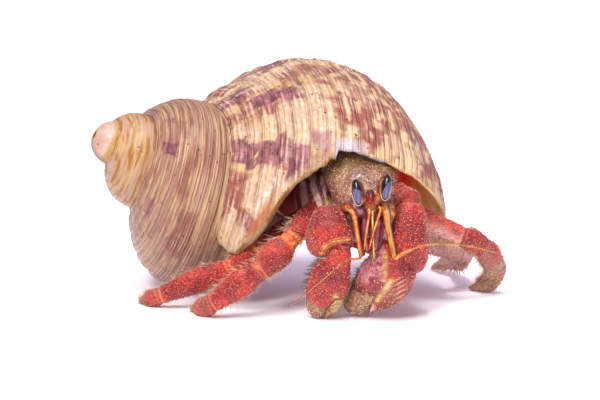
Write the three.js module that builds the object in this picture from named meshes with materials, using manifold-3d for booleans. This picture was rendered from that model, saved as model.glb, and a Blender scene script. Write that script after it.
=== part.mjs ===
// A strawberry land hermit crab walking in a rough turban shell, life size.
// Millimetres, +Z up. The crab faces -Y, its left is +X, and the spire of the shell points to -X.

import * as THREE from 'three';
import Module from 'manifold-3d';

const wasm = await Module();
wasm.setup();

const { cos, sin, exp, abs, sign, min, max, PI } = Math;
const V = (x, y, z) => new THREE.Vector3(x, y, z);
const rad = THREE.MathUtils.degToRad;
const lerp = THREE.MathUtils.lerp;

// Driving sizes ------------------------------------------------------------------------------

const GAP = 0.3;                       // clearance between neighbouring pieces
const MIDDLE = V(0.1, 4.2, 0);          // moves the middle of the footprint to the origin

// The shell is a right-handed spiral round an axis that starts at the apex.
const APEX = V(-33.5, -5.4, 26.6);
const SPIRE_LIFT = rad(24);            // how far the spire points up
const SPIRE_TURN = rad(18.6);          // how far the spire turns towards the front
const SPIRE_ROLL = rad(9);             // lean of the turned spire
const WIDEN = 0.1451;                  // growth of the whorl per radian
const LENGTHEN = 0.135;                // growth of the axial travel per radian
const WORN = 0.1347;                   // blunt start of the worn spire
const WHORL_RADIUS = 6.3;              // middle of the whorl from the axis, at the top of the last turn
const AXIS_TRAVEL = 32.5;              // middle of the whorl below the apex, there
const WHORL_REACH = 17.7;              // middle of the whorl to its outer side
const WHORL_HALF = 15.3;               // middle of the whorl to its shoulder
const INNER_GAP = 0.7;                 // axis to the inner side of the whorl
const COLUMELLA = { radius: [0.7, 1.8], travel: [-3, -48] };   // the pillar round the axis
const WHORL_LEAN = -0.156;
const CORD_RISE = 0.42;                // height of a spiral cord
const CORD_STEP = rad(15);             // from one cord to the next
const CORD_FIRST = rad(82);            // the cord beside the suture
const CORD_COUNT = 13;
const SHELL_WALL = 1.5;
const SHELL_START = -5.4 * PI;
const MOUTH_DEPTH = rad(-60);          // where the hollow of the mouth ends
const EARLY_END = rad(-200);           // whorls before this stay whole behind the mouth
const DOME_RADIUS = 3.6;               // the worn first whorl
const DOME_PROUD = 0.3;                // how far it stands past the apex
const RAMP = { at: rad(62), half: rad(22), sink: 0.7 };   // the flatter ramp below the suture

// The outer lip: a long tongue towards the suture, a chipped step, and an even edge after it.
const LIP_EVEN = rad(68.5);
const LIP_STEP = rad(72);
const LIP_SWELL = rad(10);
const LIP_TONGUE = rad(42);
const STEP_AT = rad(33);
const SUTURE_AT = rad(78);

// The head frame: the middle of the shield's front edge, and the way the crab faces.
const BROW = V(10.75, -24.3, 20);
const HEAD_FORWARD = V(0.14, -0.855, -0.5).normalize();
const HEAD_UP = HEAD_FORWARD.clone().cross(V(0.984, 0.15, 0.1)).normalize();
const HEAD_LEFT = HEAD_UP.clone().cross(HEAD_FORWARD).normalize();

const SHIELD_LENGTH = 12.5;
const SHIELD_HALF = 6.1;
const SHIELD_DOME = 3.4;
const EYE_HALF = [0.78, 1.05, 2.15];   // across, deep, tall

const COLOURS = {
  shell: 0xd9c194,
  shield: 0xa88468,
  flesh: 0x9c6a62,
  eye: 0x2b2a33,
  orange: 0xe08a2e,
  red: 0xc93e42,
  tip: 0x9a6a48,
  mouth: 0x6e2230,
};

// Solids -------------------------------------------------------------------------------------

// A closed solid from points and triangles, turned right side out.
function solidFrom(points, faces) {
  const volume = faces.reduce((sum, [a, b, c]) => (
    sum + points[a].dot(points[b].clone().cross(points[c]))), 0);
  const outward = volume > 0 ? faces : faces.map(([a, b, c]) => [a, c, b]);
  const mesh = new wasm.Mesh({
    numProp: 3,
    vertProperties: new Float32Array(points.flatMap((p) => [p.x, p.y, p.z])),
    triVerts: new Uint32Array(outward.flat()),
  });
  return new wasm.Manifold(mesh);
}

// A closed skin over rings of points, with a flat cap at each end.
function skinOver(rings) {
  const points = [];
  const faces = [];
  const sides = rings[0].length;
  rings.forEach((ring) => points.push(...ring));
  for (let r = 0; r + 1 < rings.length; r++) {
    for (let i = 0; i < sides; i++) {
      const a = r * sides + i;
      const b = r * sides + (i + 1) % sides;
      faces.push([a, b, b + sides], [a, b + sides, a + sides]);
    }
  }
  const cap = (ring, base, flip) => {
    const middle = points.length;
    const centre = V(0, 0, 0);
    ring.forEach((p) => centre.addScaledVector(p, 1 / sides));
    points.push(centre);
    for (let i = 0; i < sides; i++) {
      const edge = [base + i, base + (i + 1) % sides];
      faces.push(flip ? [middle, edge[1], edge[0]] : [middle, edge[0], edge[1]]);
    }
  };
  cap(rings[0], 0, true);
  cap(rings.at(-1), (rings.length - 1) * sides, false);
  return solidFrom(points, faces);
}

function solidOfGeometry(geometry) {
  const bare = geometry.index ? geometry.toNonIndexed() : geometry;
  const at = bare.getAttribute('position');
  const seen = new Map();
  const points = [];
  const corner = (i) => {
    const p = V(at.getX(i), at.getY(i), at.getZ(i));
    const key = [p.x, p.y, p.z].map((v) => v.toFixed(5)).join();
    if (!seen.has(key)) {
      seen.set(key, points.length);
      points.push(p);
    }
    return seen.get(key);
  };
  const faces = [];
  for (let i = 0; i < at.count; i += 3) {
    const face = [corner(i), corner(i + 1), corner(i + 2)];
    if (new Set(face).size === 3) faces.push(face);
  }
  return solidFrom(points, faces);
}

function largestBody(solid) {
  const bodies = solid.decompose();
  return bodies.reduce((best, body) => (body.volume() > best.volume() ? body : best));
}

const UNDERGROUND = solidOfGeometry(new THREE.BoxGeometry(200, 200, 40).translate(0, 0, -20));
const onFloor = (solid) => solid.subtract(UNDERGROUND);

function ball(centre, halves, axes, columns = 12, rows = 8) {
  const turn = new THREE.Matrix4().makeBasis(...axes).setPosition(centre);
  const shape = new THREE.SphereGeometry(1, columns, rows).scale(...halves).applyMatrix4(turn);
  return solidOfGeometry(shape);
}

// Shell --------------------------------------------------------------------------------------

const spireRight = V(1, 0, 0);
const spireUp = V(0, sin(SPIRE_ROLL), cos(SPIRE_ROLL));
const spireBack = V(0, cos(SPIRE_ROLL), -sin(SPIRE_ROLL));
const AXIS = V(0, 0, 0)
  .addScaledVector(spireRight, -cos(SPIRE_LIFT) * cos(SPIRE_TURN))
  .addScaledVector(spireUp, sin(SPIRE_LIFT) * cos(SPIRE_TURN))
  .addScaledVector(spireBack, -sin(SPIRE_TURN));
const TOPWARD = spireUp.clone().addScaledVector(AXIS, -spireUp.dot(AXIS)).normalize();
const FRONTWARD = TOPWARD.clone().cross(AXIS).normalize();

// How far the surface stands out at this place round the whorl: cords and the grooves between.
function cordRise(phi) {
  const last = CORD_FIRST - CORD_STEP * (CORD_COUNT - 0.5);
  if (phi > CORD_FIRST + CORD_STEP || phi < last) return -CORD_RISE / 2;
  return CORD_RISE * 0.5 * cos((2 * PI * (phi - CORD_FIRST)) / CORD_STEP);
}

// The last turn is flatter between the suture and its shoulder.
function rampSink(theta, phi) {
  const near = 1 - min(1, abs(phi - RAMP.at) / RAMP.half);
  return RAMP.sink * THREE.MathUtils.smoothstep(near, 0, 1)
    * THREE.MathUtils.smoothstep(theta, -PI, -PI / 3);
}

// A point of the whorl's skin: theta runs with growth, phi round the whorl, 0 at its outer side.
function whorlPoint(theta, phi, inset = 0, corded = true) {
  const wide = exp(WIDEN * theta);
  const worn = WORN * THREE.MathUtils.smoothstep(theta, SHELL_START, -4 * PI);
  const size = wide + worn;
  const rise = (corded ? cordRise(phi) * min(size, 1) : 0) - rampSink(theta, phi);
  const across = cos(phi) > 0 ? WHORL_REACH : WHORL_RADIUS - INNER_GAP;
  const out = (across * size - inset + rise) * cos(phi);
  const along = (WHORL_HALF * size - inset + rise) * sin(phi);
  const radius = max(
    wide * INNER_GAP * 0.6,
    wide * WHORL_RADIUS + out * cos(WHORL_LEAN) - along * sin(WHORL_LEAN),
  );
  const travel = -exp(LENGTHEN * theta) * AXIS_TRAVEL
    + out * sin(WHORL_LEAN) + along * cos(WHORL_LEAN);
  return APEX.clone()
    .addScaledVector(TOPWARD, radius * cos(theta))
    .addScaledVector(FRONTWARD, radius * sin(theta))
    .addScaledVector(AXIS, travel);
}

function lipAngle(phi) {
  if (phi <= STEP_AT || phi > PI * 0.75) return LIP_EVEN;
  const t = min((phi - STEP_AT) / (SUTURE_AT - STEP_AT), 1);
  return LIP_STEP + LIP_SWELL * THREE.MathUtils.smoothstep(t, 0, 0.4)
    + LIP_TONGUE * THREE.MathUtils.smoothstep(t, 0.33, 0.95);
}

// Places round the whorl: a ridge and a groove for each cord, and a few over the inner side.
const ROUND = [];
for (let i = 0; i < CORD_COUNT * 2; i++) ROUND.push(CORD_FIRST - (i * CORD_STEP) / 2);
const INNER_PLACES = 5;
const innerStart = CORD_FIRST - CORD_STEP * (CORD_COUNT - 0.5);
const innerSpan = 2 * PI - (CORD_FIRST - innerStart);
for (let i = 1; i <= INNER_PLACES; i++) {
  ROUND.push(innerStart - (innerSpan * i) / (INNER_PLACES + 1));
}
ROUND.reverse();

const wrap = (phi) => (phi < -PI ? phi + 2 * PI : phi);
const whorlRing = (theta, inset, corded) =>
  ROUND.map((phi) => whorlPoint(theta, wrap(phi), inset, corded));

// One length of the whorl; the last one ends along the lip.
function whorlLength(from, to, steps, { inset = 0, corded = true, lip = false } = {}) {
  const rings = [];
  for (let i = 0; i <= steps; i++) {
    if (lip) {
      const ring = ROUND.map((phi) => {
        const place = wrap(phi);
        return whorlPoint(lerp(from, lipAngle(place), i / steps), place, inset, corded);
      });
      rings.push(ring);
    } else {
      rings.push(whorlRing(lerp(from, to, i / steps), inset, corded));
    }
  }
  return skinOver(rings);
}

function whorls(from, to, lengths, steps, options) {
  const pieces = [];
  for (let i = 0; i < lengths; i++) {
    const a = lerp(from, to, i / lengths);
    const b = lerp(from, to, (i + 1) / lengths);
    pieces.push(whorlLength(a, b, steps, options));
  }
  return pieces;
}

function columellaSolid(grow) {
  const { radius, travel } = COLUMELLA;
  const girth = [radius[0], (radius[0] + radius[1]) / 2, radius[1]];
  return segment({
    from: APEX.clone().addScaledVector(AXIS, travel[0]),
    to: APEX.clone().addScaledVector(AXIS, travel[1]),
    face: TOPWARD,
    wide: girth,
    thick: girth,
    square: 2,
  }, grow);
}

function shellSolid() {
  const dome = ball(
    APEX.clone().addScaledVector(AXIS, DOME_PROUD - DOME_RADIUS),
    [DOME_RADIUS, DOME_RADIUS, DOME_RADIUS],
    [FRONTWARD, TOPWARD, AXIS],
  );
  const pillar = columellaSolid(0);
  const early = wasm.Manifold.union([dome, pillar, ...whorls(SHELL_START, EARLY_END, 6, 7)]);
  const late = wasm.Manifold.union([
    ...whorls(EARLY_END, 0, 2, 8),
    whorlLength(0, 0, 6, { lip: true }),
  ]);
  const hollow = whorlLength(MOUTH_DEPTH, rad(40), 8, { inset: SHELL_WALL, corded: false })
    .add(whorlLength(rad(40), rad(150), 9, { inset: SHELL_WALL, corded: false }));
  return largestBody(onFloor(late.subtract(hollow).add(early)));
}

// Limbs --------------------------------------------------------------------------------------

// Blend of three values, the middle one at place belly.
function swell([start, middle, end], t, belly = 0.45) {
  const ease = (k) => 0.5 - 0.5 * cos(PI * k);
  return t < belly
    ? lerp(start, middle, ease(t / belly))
    : lerp(middle, end, ease((t - belly) / (1 - belly)));
}

// How much of its girth a rounded end keeps at distance t from the end; 0 stands for a flat end.
function domedEnd(t, length) {
  const k = length > 0 ? min(1, t / length) : 1;
  return lerp(0.4, 1, (1 - (1 - k) ** 2) ** 0.5);
}

// A flattened tube from one place to another. face is the way its broad side looks. Gives the
// point of its skin at place t along it and at angle a round it.
function skinPoint({ from: near, to: far, fromNormal, toNormal, face, wide, thick, bow = 0,
  belly, square = 2.4, round = [0, 0] }, grow, t, a) {
  const along = far.clone().sub(near).normalize();
  const from = near.clone().addScaledVector(along, -grow);
  const to = far.clone().addScaledVector(along, grow);
  const side = face.clone().cross(along).normalize();
  const control = from.clone().lerp(to, 0.5).addScaledVector(side, bow * 2);
  const centre = from.lerp(control, t).lerp(control.clone().lerp(to, t), t);
  const normal = t < 0.5
    ? (fromNormal ?? along).clone().lerp(along, min(1, t * 3))
    : along.clone().lerp(toNormal ?? along, max(0, t * 3 - 2));
  normal.normalize();
  const across = face.clone().cross(normal).normalize();
  const through = normal.clone().cross(across).normalize();
  const domed = domedEnd(t, round[0]) * domedEnd(1 - t, round[1]);
  const x = sign(cos(a)) * abs(cos(a)) ** (2 / square) * (swell(wide, t, belly) * domed + grow);
  const y = sign(sin(a)) * abs(sin(a)) ** (2 / square) * (swell(thick, t, belly) * domed + grow);
  return centre.addScaledVector(across, x).addScaledVector(through, y);
}

// The solid of such a tube, with its rings closer together towards both ends.
function segment(form, grow = 0) {
  const { sides = 10, steps = 7 } = form;
  const rings = [];
  for (let k = 0; k <= steps; k++) {
    const t = 0.5 - 0.5 * cos((PI * k) / steps);
    const ring = [];
    for (let i = 0; i < sides; i++) ring.push(skinPoint(form, grow, t, (2 * PI * i) / sides));
    rings.push(ring);
  }
  return skinOver(rings);
}

// A limb of several segments that meet in the planes which halve the bends between them.
function limb(joints, parts, face) {
  const ways = parts.map((_, i) => joints[i + 1].clone().sub(joints[i]).normalize());
  return parts.map((part, i) => {
    const before = i > 0 ? ways[i - 1].clone().add(ways[i]).normalize() : ways[i];
    const after = i + 1 < parts.length ? ways[i].clone().add(ways[i + 1]).normalize() : ways[i];
    return segment({
      face,
      ...part,
      from: joints[i].clone().addScaledVector(before, GAP / 2),
      to: joints[i + 1].clone().addScaledVector(after, i + 1 < parts.length ? -GAP / 2 : 0),
      fromNormal: before,
      toNormal: after,
    });
  });
}

// A round rod along a smooth curve, thinner towards its end.
function rod(places, startRadius, endRadius, steps, sides = 8) {
  const curve = new THREE.CatmullRomCurve3(places);
  const frames = curve.computeFrenetFrames(steps, false);
  const rings = [];
  for (let k = 0; k <= steps; k++) {
    const centre = curve.getPointAt(k / steps);
    const radius = lerp(startRadius, endRadius, k / steps);
    const ring = [];
    for (let i = 0; i < sides; i++) {
      const a = (2 * PI * i) / sides;
      ring.push(centre.clone()
        .addScaledVector(frames.normals[k], cos(a) * radius)
        .addScaledVector(frames.binormals[k], sin(a) * radius));
    }
    rings.push(ring);
  }
  return skinOver(rings);
}

// Head and body ------------------------------------------------------------------------------

const onHead = (left, forward, up) => BROW.clone()
  .addScaledVector(HEAD_LEFT, left)
  .addScaledVector(HEAD_FORWARD, forward)
  .addScaledVector(HEAD_UP, up);

// The hard shield over the head: a dome across, bent down a little to the front, flat below.
function shieldSolid(grow = 0) {
  const rings = [];
  const steps = 6;
  const arc = 9;
  for (let k = 0; k <= steps; k++) {
    const t = k / steps;
    const back = SHIELD_LENGTH * (1 - t) * (1 + grow / SHIELD_LENGTH) - grow * t;
    const half = SHIELD_HALF * (1 - 0.28 * t * t) + grow;
    const rise = 0.9 * sin(PI * min(1, 0.25 + 0.75 * t)) - 0.3;
    const ring = [];
    for (let i = 0; i < arc; i++) {
      const a = rad(lerp(-82, 82, i / (arc - 1)));
      ring.push(onHead(sin(a) * half, -back, rise + grow + SHIELD_DOME * (cos(a) - 1)));
    }
    const floor = rise - grow - SHIELD_DOME - 0.3;
    ring.push(onHead(half * 0.8, -back, floor));
    ring.push(onHead(-half * 0.8, -back, floor));
    rings.push(ring);
  }
  return skinOver(rings);
}

// The room inside the mouth, clear of the wall, and on past the lip.
function mouthRoomSolid() {
  const options = { inset: SHELL_WALL + GAP, corded: false };
  return whorlLength(MOUTH_DEPTH, rad(40), 8, options)
    .add(whorlLength(rad(40), rad(150), 9, options));
}

const mouthRoom = mouthRoomSolid();

const THORAX = {
  from: V(1, 4, 18.5),
  to: onHead(0, -0.6, -6.4),
  face: HEAD_UP,
  wide: [7.6, 6.8, 3.9],
  thick: [7, 6.4, 2.7],
  belly: 0.66,
  sides: 16,
  steps: 10,
};

// The flesh under the eyes, which the feelers and mouthparts grow from.
const FACE = {
  from: onHead(0, -5, -6),
  to: onHead(0, 2.6, -3.2),
  face: HEAD_UP,
  wide: [5, 4.6, 3.1],
  thick: [2.4, 2.2, 1.5],
  round: [0, 0.2],
  sides: 12,
  steps: 6,
};

// The soft body: a thorax under the shield, and the belly that fills the whorl behind it.
function bodySolid() {
  const options = { inset: SHELL_WALL + 2 * GAP, corded: false };
  const belly = whorlLength(MOUTH_DEPTH + rad(4), rad(22), 7, options);
  const behind = wasm.Manifold.union(whorls(-3 * PI, EARLY_END, 2, 10, { inset: -GAP }));
  const late = whorlLength(EARLY_END, rad(-100), 8, { inset: -GAP });
  return largestBody(
    wasm.Manifold.union([belly, segment(THORAX).intersect(mouthRoom), segment(FACE)])
      .subtract(shieldSolid(GAP))
      .subtract(behind)
      .subtract(late)
      .subtract(columellaSolid(GAP)),
  );
}

function eyeParts(left) {
  const top = onHead(2.35 * left, 1, 3.4);
  const foot = onHead(2 * left, 4.2, 1.3);
  const upward = top.clone().sub(foot).normalize();
  const centre = top.clone().lerp(foot, 0.5);
  const across = HEAD_LEFT.clone().addScaledVector(upward, -HEAD_LEFT.dot(upward)).normalize();
  const outward = across.clone().cross(upward).normalize();
  const basis = [across, upward.clone().cross(across).normalize(), upward];
  const eye = (grow) => ball(centre, EYE_HALF.map((half) => half + grow), basis, 14, 9);
  const front = outward.dot(HEAD_FORWARD) > 0 ? outward : outward.negate();
  const socket = centre.clone().addScaledVector(front, -0.35).addScaledVector(upward, -0.35);
  const stalk = segment({
    from: onHead(1 * left, -0.1, -1.2),
    to: socket,
    face: HEAD_LEFT,
    wide: [1, 1.15, 1.5],
    thick: [0.75, 0.85, 0.85],
    sides: 10,
    steps: 5,
  });
  return { eye: eye(0), stalk: largestBody(stalk.subtract(eye(GAP)).subtract(shieldSolid(GAP))) };
}

// Claws --------------------------------------------------------------------------------------

// The right claw is the smaller one. Its arm segment and wrist segment fold in front of the
// mouth, and the hand hangs from the wrist down to the floor.
const CLAWS = {
  right: {
    merus: {
      from: V(7.5, -17, 15.2),
      to: V(4.4, -24.6, 16.2),
      face: V(0, -0.2, 1),
      wide: [2.2, 2.3, 1.9],
      thick: [1.8, 1.9, 1.5],
    },
    carpus: {
      from: V(4, -24.6, 18),
      to: V(4.9, -26.6, 10.3),
      face: V(-0.1, -1, 0.2),
      wide: [2.1, 3.6, 3.1],
      thick: [1.8, 2.7, 2.2],
      belly: 0.66,
      round: [0.25, 0.2],
      sides: 12,
    },
    hand: {
      from: V(6, -28, 12.2),
      to: V(2.9, -23.6, 0.3),
      face: V(-0.15, -1, 0.1),
      wide: [1.7, 3.3, 2.5],
      thick: [1.5, 2.3, 1.6],
      belly: 0.5,
      round: [0, 0.18],
      bow: 0.1,
      fingerSide: 1,
      gape: [[0.6, 2.2], [0.64, 0.62], [0.8, 0.38], [1.2, 0.2]],
    },
  },
  left: {
    merus: {
      from: V(12.5, -14.5, 18.5),
      to: V(17, -22.3, 18.2),
      face: V(0.1, -0.3, 1),
      wide: [2.4, 2.7, 2.1],
      thick: [2, 2.3, 1.8],
    },
    carpus: {
      from: V(17.3, -23, 18.2),
      to: V(16.7, -25.8, 7.5),
      face: V(0.25, -1, 0.2),
      wide: [2.3, 3.1, 2.8],
      thick: [2, 2.8, 2.3],
      belly: 0.6,
      round: [0.18, 0.22],
      sides: 12,
    },
    hand: {
      from: V(15.6, -26.8, 10.2),
      to: V(7.6, -22.4, 1.1),
      face: V(0.3, -1, 0.35),
      wide: [3.6, 4.4, 1.9],
      thick: [2.4, 3.3, 1.6],
      belly: 0.35,
      round: [0, 0.14],
      bow: 0.75,
      fingerSide: -1,
      gape: [[0.78, 2.2], [0.72, 0.6], [0.5, -0.2], [0.8, -0.48], [1.2, -0.75]],
      ridges: { count: 7, from: 0.1, to: 0.52, at: [rad(-52), rad(-98)], rise: 0.22 },
    },
  },
};

// The row of oblique ridges on the palm, which the crab rubs to chirp.
function ridgeSolids(form, ridges) {
  const bars = [];
  for (let i = 0; i < ridges.count; i++) {
    const t = lerp(ridges.from, ridges.to, i / (ridges.count - 1));
    const [low, high] = ridges.at.map((a, end) => skinPoint(form, 0, t + end * 0.07, a));
    const outward = low.clone().sub(skinPoint(form, -1, t, ridges.at[0])).normalize();
    bars.push(segment({
      from: low,
      to: high,
      face: outward,
      wide: [0.14, 0.2, 0.14],
      thick: [ridges.rise / 2, ridges.rise, ridges.rise / 2],
      square: 2,
      sides: 6,
      steps: 3,
    }));
  }
  return bars;
}

// The line moved to its right by the same distance everywhere.
function shiftedLine(places, distance) {
  const normals = places.slice(1).map((p, i) => {
    const way = p.clone().sub(places[i]).normalize();
    return new THREE.Vector2(way.y, -way.x);
  });
  return places.map((p, i) => {
    const before = normals[max(0, i - 1)];
    const after = normals[min(i, normals.length - 1)];
    const middle = before.clone().add(after).normalize();
    return p.clone().addScaledVector(middle, distance / middle.dot(before));
  });
}

// A hand is shaped whole, then parted along the gape into a palm with its fixed finger and a
// movable finger on the inner side. The gape runs through places given as parts of the hand's
// length and of its half width.
function handParts({ fingerSide, gape, ridges, ...plain }) {
  const form = { ...plain, sides: 14, steps: 9, square: 2.2 };
  const bars = ridges ? ridgeSolids(form, ridges) : [];
  const whole = onFloor(wasm.Manifold.union([segment(form), ...bars]));
  const along = form.to.clone().sub(form.from);
  const length = along.length();
  along.normalize();
  const side = form.face.clone().cross(along).normalize().multiplyScalar(fingerSide);
  const half = form.wide[1];
  const farSide = half * gape[0][1];
  const fingerBlock = (grow) => {
    const places = gape.map(([far, across]) => new THREE.Vector2(length * far, half * across));
    const line = shiftedLine(places, grow);
    const corners = [new THREE.Vector2(length * gape.at(-1)[0], farSide)];
    const plan = new THREE.Shape([...line, ...corners]);
    const block = new THREE.ExtrudeGeometry(plan, { depth: 20, bevelEnabled: false });
    block.translate(0, 0, -10);
    block.applyMatrix4(new THREE.Matrix4().makeBasis(along, side, along.clone().cross(side))
      .setPosition(form.from));
    return solidOfGeometry(block);
  };
  return { palm: whole.subtract(fingerBlock(GAP)), finger: whole.intersect(fingerBlock(0)) };
}

function clawNodes(side) {
  const { merus, carpus, hand } = CLAWS[side];
  const wrist = segment(carpus, GAP);
  const { palm, finger } = handParts(hand);
  const arm = segment(merus)
    .subtract(wrist)
    .subtract(segment(THORAX, GAP))
    .subtract(segment(FACE, GAP))
    .subtract(shieldSolid(GAP));
  node(`claw_${side}_merus`, largestBody(arm), COLOURS.red);
  node(`claw_${side}_carpus`, segment(carpus), COLOURS.red);
  node(`claw_${side}_palm`, largestBody(palm.subtract(wrist)), COLOURS.red);
  node(`claw_${side}_finger`, largestBody(finger.subtract(wrist)), COLOURS.tip);
}

// Walking legs -------------------------------------------------------------------------------

// Joints run from the root, inside the thorax, to the tip of the last segment.
const LEGS = {
  right_front: {
    joints: [V(3.6, -14.5, 16.6), V(-1.4, -22, 12.3), V(-6.4, -24, 7.6),
      V(-13.6, -24.3, 2.6), V(-17.4, -19, 0.6)],
    face: V(-0.15, -1, 0.25),
    wide: [[1.9, 1.9, 1.5], [1.5, 2.3, 1.7], [1.7, 2.1, 1.5], [1.5, 1.6, 0.4]],
    bows: [0, 0.2, 0, 0.5],
  },
  right_rear: {
    joints: [V(4.2, -10.5, 15.6), V(-6.8, -16.8, 10), V(-11.1, -17.3, 6.8),
      V(-22.3, -16.2, 2.1), V(-26, -12.4, 0.6)],
    face: V(-0.1, -1, 0.25),
    wide: [[1.8, 1.9, 1.4], [1.4, 1.9, 1.5], [1.5, 1.9, 1.4], [1.3, 1.5, 0.4]],
    bows: [0, 0.1, 0, 0.4],
  },
  left_front: {
    joints: [V(12.5, -12, 15.6), V(26.2, -12, 10.9), V(29.4, -9.8, 8.9),
      V(32.2, -6, 4.3), V(28.3, -2, 0.4)],
    face: V(0.35, -1, 0.3),
    wide: [[1.9, 2.1, 1.6], [1.6, 1.9, 1.8], [1.8, 2.1, 1.8], [1.8, 1.6, 0.4]],
    bows: [0.3, 0.2, 0.4, 1],
  },
  left_rear: {
    joints: [V(10.5, -10, 13.4), V(26.4, -3.5, 6.9), V(27.6, 1.5, 5.6),
      V(26.8, 9.5, 2.9), V(23.2, 16.3, 0.5)],
    face: V(0.6, -1, 0.3),
    wide: [[2, 2.1, 1.7], [1.7, 2, 1.8], [1.8, 2.1, 1.5], [1.4, 1.4, 0.4]],
    bows: [0, 0, 0, 0.4],
  },
};
const LEG_SEGMENTS = ['merus', 'carpus', 'propodus', 'dactyl'];
const LEG_FLATNESS = 0.72;             // thickness of a leg against its width

function legNodes(name) {
  const { joints, face, wide, bows } = LEGS[name];
  const parts = wide.map((w, i) => ({ wide: w, thick: w.map((v) => v * LEG_FLATNESS), bow: bows[i] }));
  limb(joints, parts, face).forEach((solid, i) => {
    const clear = i > 0 ? solid : solid.subtract(segment(THORAX, GAP));
    const colour = i < 3 ? COLOURS.red : COLOURS.tip;
    node(`leg_${name}_${LEG_SEGMENTS[i]}`, largestBody(onFloor(clear)), colour);
  });
}

// Feelers and mouthparts ---------------------------------------------------------------------

// Each has the radius at its root, the radius at its tip, and the places it passes, the first
// of them inside the flesh.
const FEELERS = {
  antennule_right: [0.42, 0.28,
    [V(10.1, -24.4, 17.4), V(10, -27.6, 18), V(9.9, -29.5, 15.3), V(9.75, -30.2, 11.9)]],
  antennule_left: [0.42, 0.28,
    [V(11.9, -24.4, 17.4), V(11.9, -27.6, 18), V(11.5, -29.7, 14.9), V(11.2, -30.2, 10.8)]],
  antenna_right_stalk: [0.65, 0.42,
    [V(8.3, -23.6, 16.8), V(7.3, -26.2, 18.3), V(8.1, -29, 15), V(9.3, -31.5, 11.4)]],
  antenna_left_stalk: [0.7, 0.45,
    [V(12.9, -23.4, 16.8), V(13.6, -26.4, 18), V(14, -29.4, 14.4), V(14.6, -31.6, 10.9)]],
  antenna_right_feeler: [0.38, 0.25, [V(9.35, -31.8, 10.75), V(7.2, -32.5, 10.8),
    V(3.2, -32.8, 7.3), V(-1.3, -32.5, 3.8)]],
  antenna_left_feeler: [0.42, 0.25, [V(14.85, -31.95, 10.3), V(17.8, -31.6, 12.3),
    V(22.9, -29, 12.5), V(30.8, -25, 10.6)]],
  maxilliped_right: [1.1, 0.6, [V(9.8, -22.6, 15.4), V(9.1, -25.8, 13.8), V(9.5, -26.9, 10.6)]],
  maxilliped_left: [1.2, 0.7, [V(11.7, -22.6, 15.6), V(12.2, -25.6, 14.6), V(11.6, -26.2, 12.6)]],
};

// The object ---------------------------------------------------------------------------------

const crab = new THREE.Group();
crab.position.copy(MIDDLE);

function node(name, solid, colour, roughness = 0.6) {
  const { vertProperties, triVerts } = solid.getMesh();
  const geometry = new THREE.BufferGeometry();
  geometry.setAttribute('position', new THREE.BufferAttribute(vertProperties, 3));
  geometry.setIndex(new THREE.BufferAttribute(triVerts, 1));
  geometry.computeVertexNormals();
  const material = new THREE.MeshStandardMaterial({ color: colour, roughness, metalness: 0 });
  const mesh = new THREE.Mesh(geometry, material);
  mesh.name = name;
  crab.add(mesh);
}

node('shell', shellSolid(), COLOURS.shell);
node('shield', largestBody(shieldSolid().intersect(mouthRoom)), COLOURS.shield, 0.4);
node('body', bodySolid(), COLOURS.flesh);

for (const [side, left] of [['right', -1], ['left', 1]]) {
  const { eye, stalk } = eyeParts(left);
  node(`eye_${side}`, eye, COLOURS.eye, 0.15);
  node(`eyestalk_${side}`, stalk, COLOURS.orange);
}

for (const side of ['right', 'left']) clawNodes(side);
for (const name of Object.keys(LEGS)) legNodes(name);
for (const [name, [start, end, places]] of Object.entries(FEELERS)) {
  const clear = rod(places, start, end, 9)
    .subtract(segment(THORAX, GAP))
    .subtract(segment(FACE, GAP))
    .subtract(shieldSolid(GAP));
  node(name, largestBody(clear), name.startsWith('maxilliped') ? COLOURS.mouth : COLOURS.orange);
}

export default crab;
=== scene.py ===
import math

import bpy
import numpy as np
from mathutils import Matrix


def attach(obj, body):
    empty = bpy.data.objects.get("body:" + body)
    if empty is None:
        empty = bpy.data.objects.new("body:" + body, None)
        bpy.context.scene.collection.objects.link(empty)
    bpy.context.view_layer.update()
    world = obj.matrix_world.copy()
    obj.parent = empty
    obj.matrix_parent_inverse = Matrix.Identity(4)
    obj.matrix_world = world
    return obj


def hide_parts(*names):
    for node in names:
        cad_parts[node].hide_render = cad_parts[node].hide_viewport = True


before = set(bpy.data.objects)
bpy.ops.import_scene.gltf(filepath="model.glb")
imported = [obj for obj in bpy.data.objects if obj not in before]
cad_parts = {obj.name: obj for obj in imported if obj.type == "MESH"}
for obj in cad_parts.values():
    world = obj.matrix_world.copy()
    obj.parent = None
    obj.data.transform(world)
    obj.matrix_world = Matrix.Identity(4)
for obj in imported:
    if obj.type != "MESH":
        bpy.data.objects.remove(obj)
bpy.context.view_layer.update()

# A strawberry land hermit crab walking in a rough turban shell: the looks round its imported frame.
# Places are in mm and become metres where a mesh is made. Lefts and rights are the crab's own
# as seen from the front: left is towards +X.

MM = 0.001
MIDDLE = np.array([0.1, 4.2, 0.0])      # the part's own shift of the footprint's middle
TAU = 2 * math.pi
SIGHT_DROP, SIGHT_FROM = 0.158, -28     # a place nearer than y = -28 looks lower from the front


# Numbers ---------------------------------------------------------------------------------------

HASH_STEPS, HASH_MIX, HASH_BITS = (374761393, 668265263, 362437, 974711), 1274126177, 0xffffffff
OCTAVE_SCALE, OCTAVE_SHIFT = 2.03, 11.7


def vec(*values):
    return np.array(values, float)


def unit(v):
    v = np.asarray(v, float)
    return v / np.maximum(np.linalg.norm(v, axis=-1, keepdims=True), 1e-12)


def smooth(x, low, high):
    """0 below low, 1 above high, and an even curve between them; low may be the larger."""
    t = np.clip((np.asarray(x, float) - low) / (high - low), 0, 1)
    return t * t * (3 - 2 * t)


def bump(x, middle, half):
    """1 at the middle, 0 from half a width away."""
    return 1 - smooth(np.abs(np.asarray(x, float) - middle), 0, half)


def lerp(a, b, t):
    return a + (b - a) * t


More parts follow.
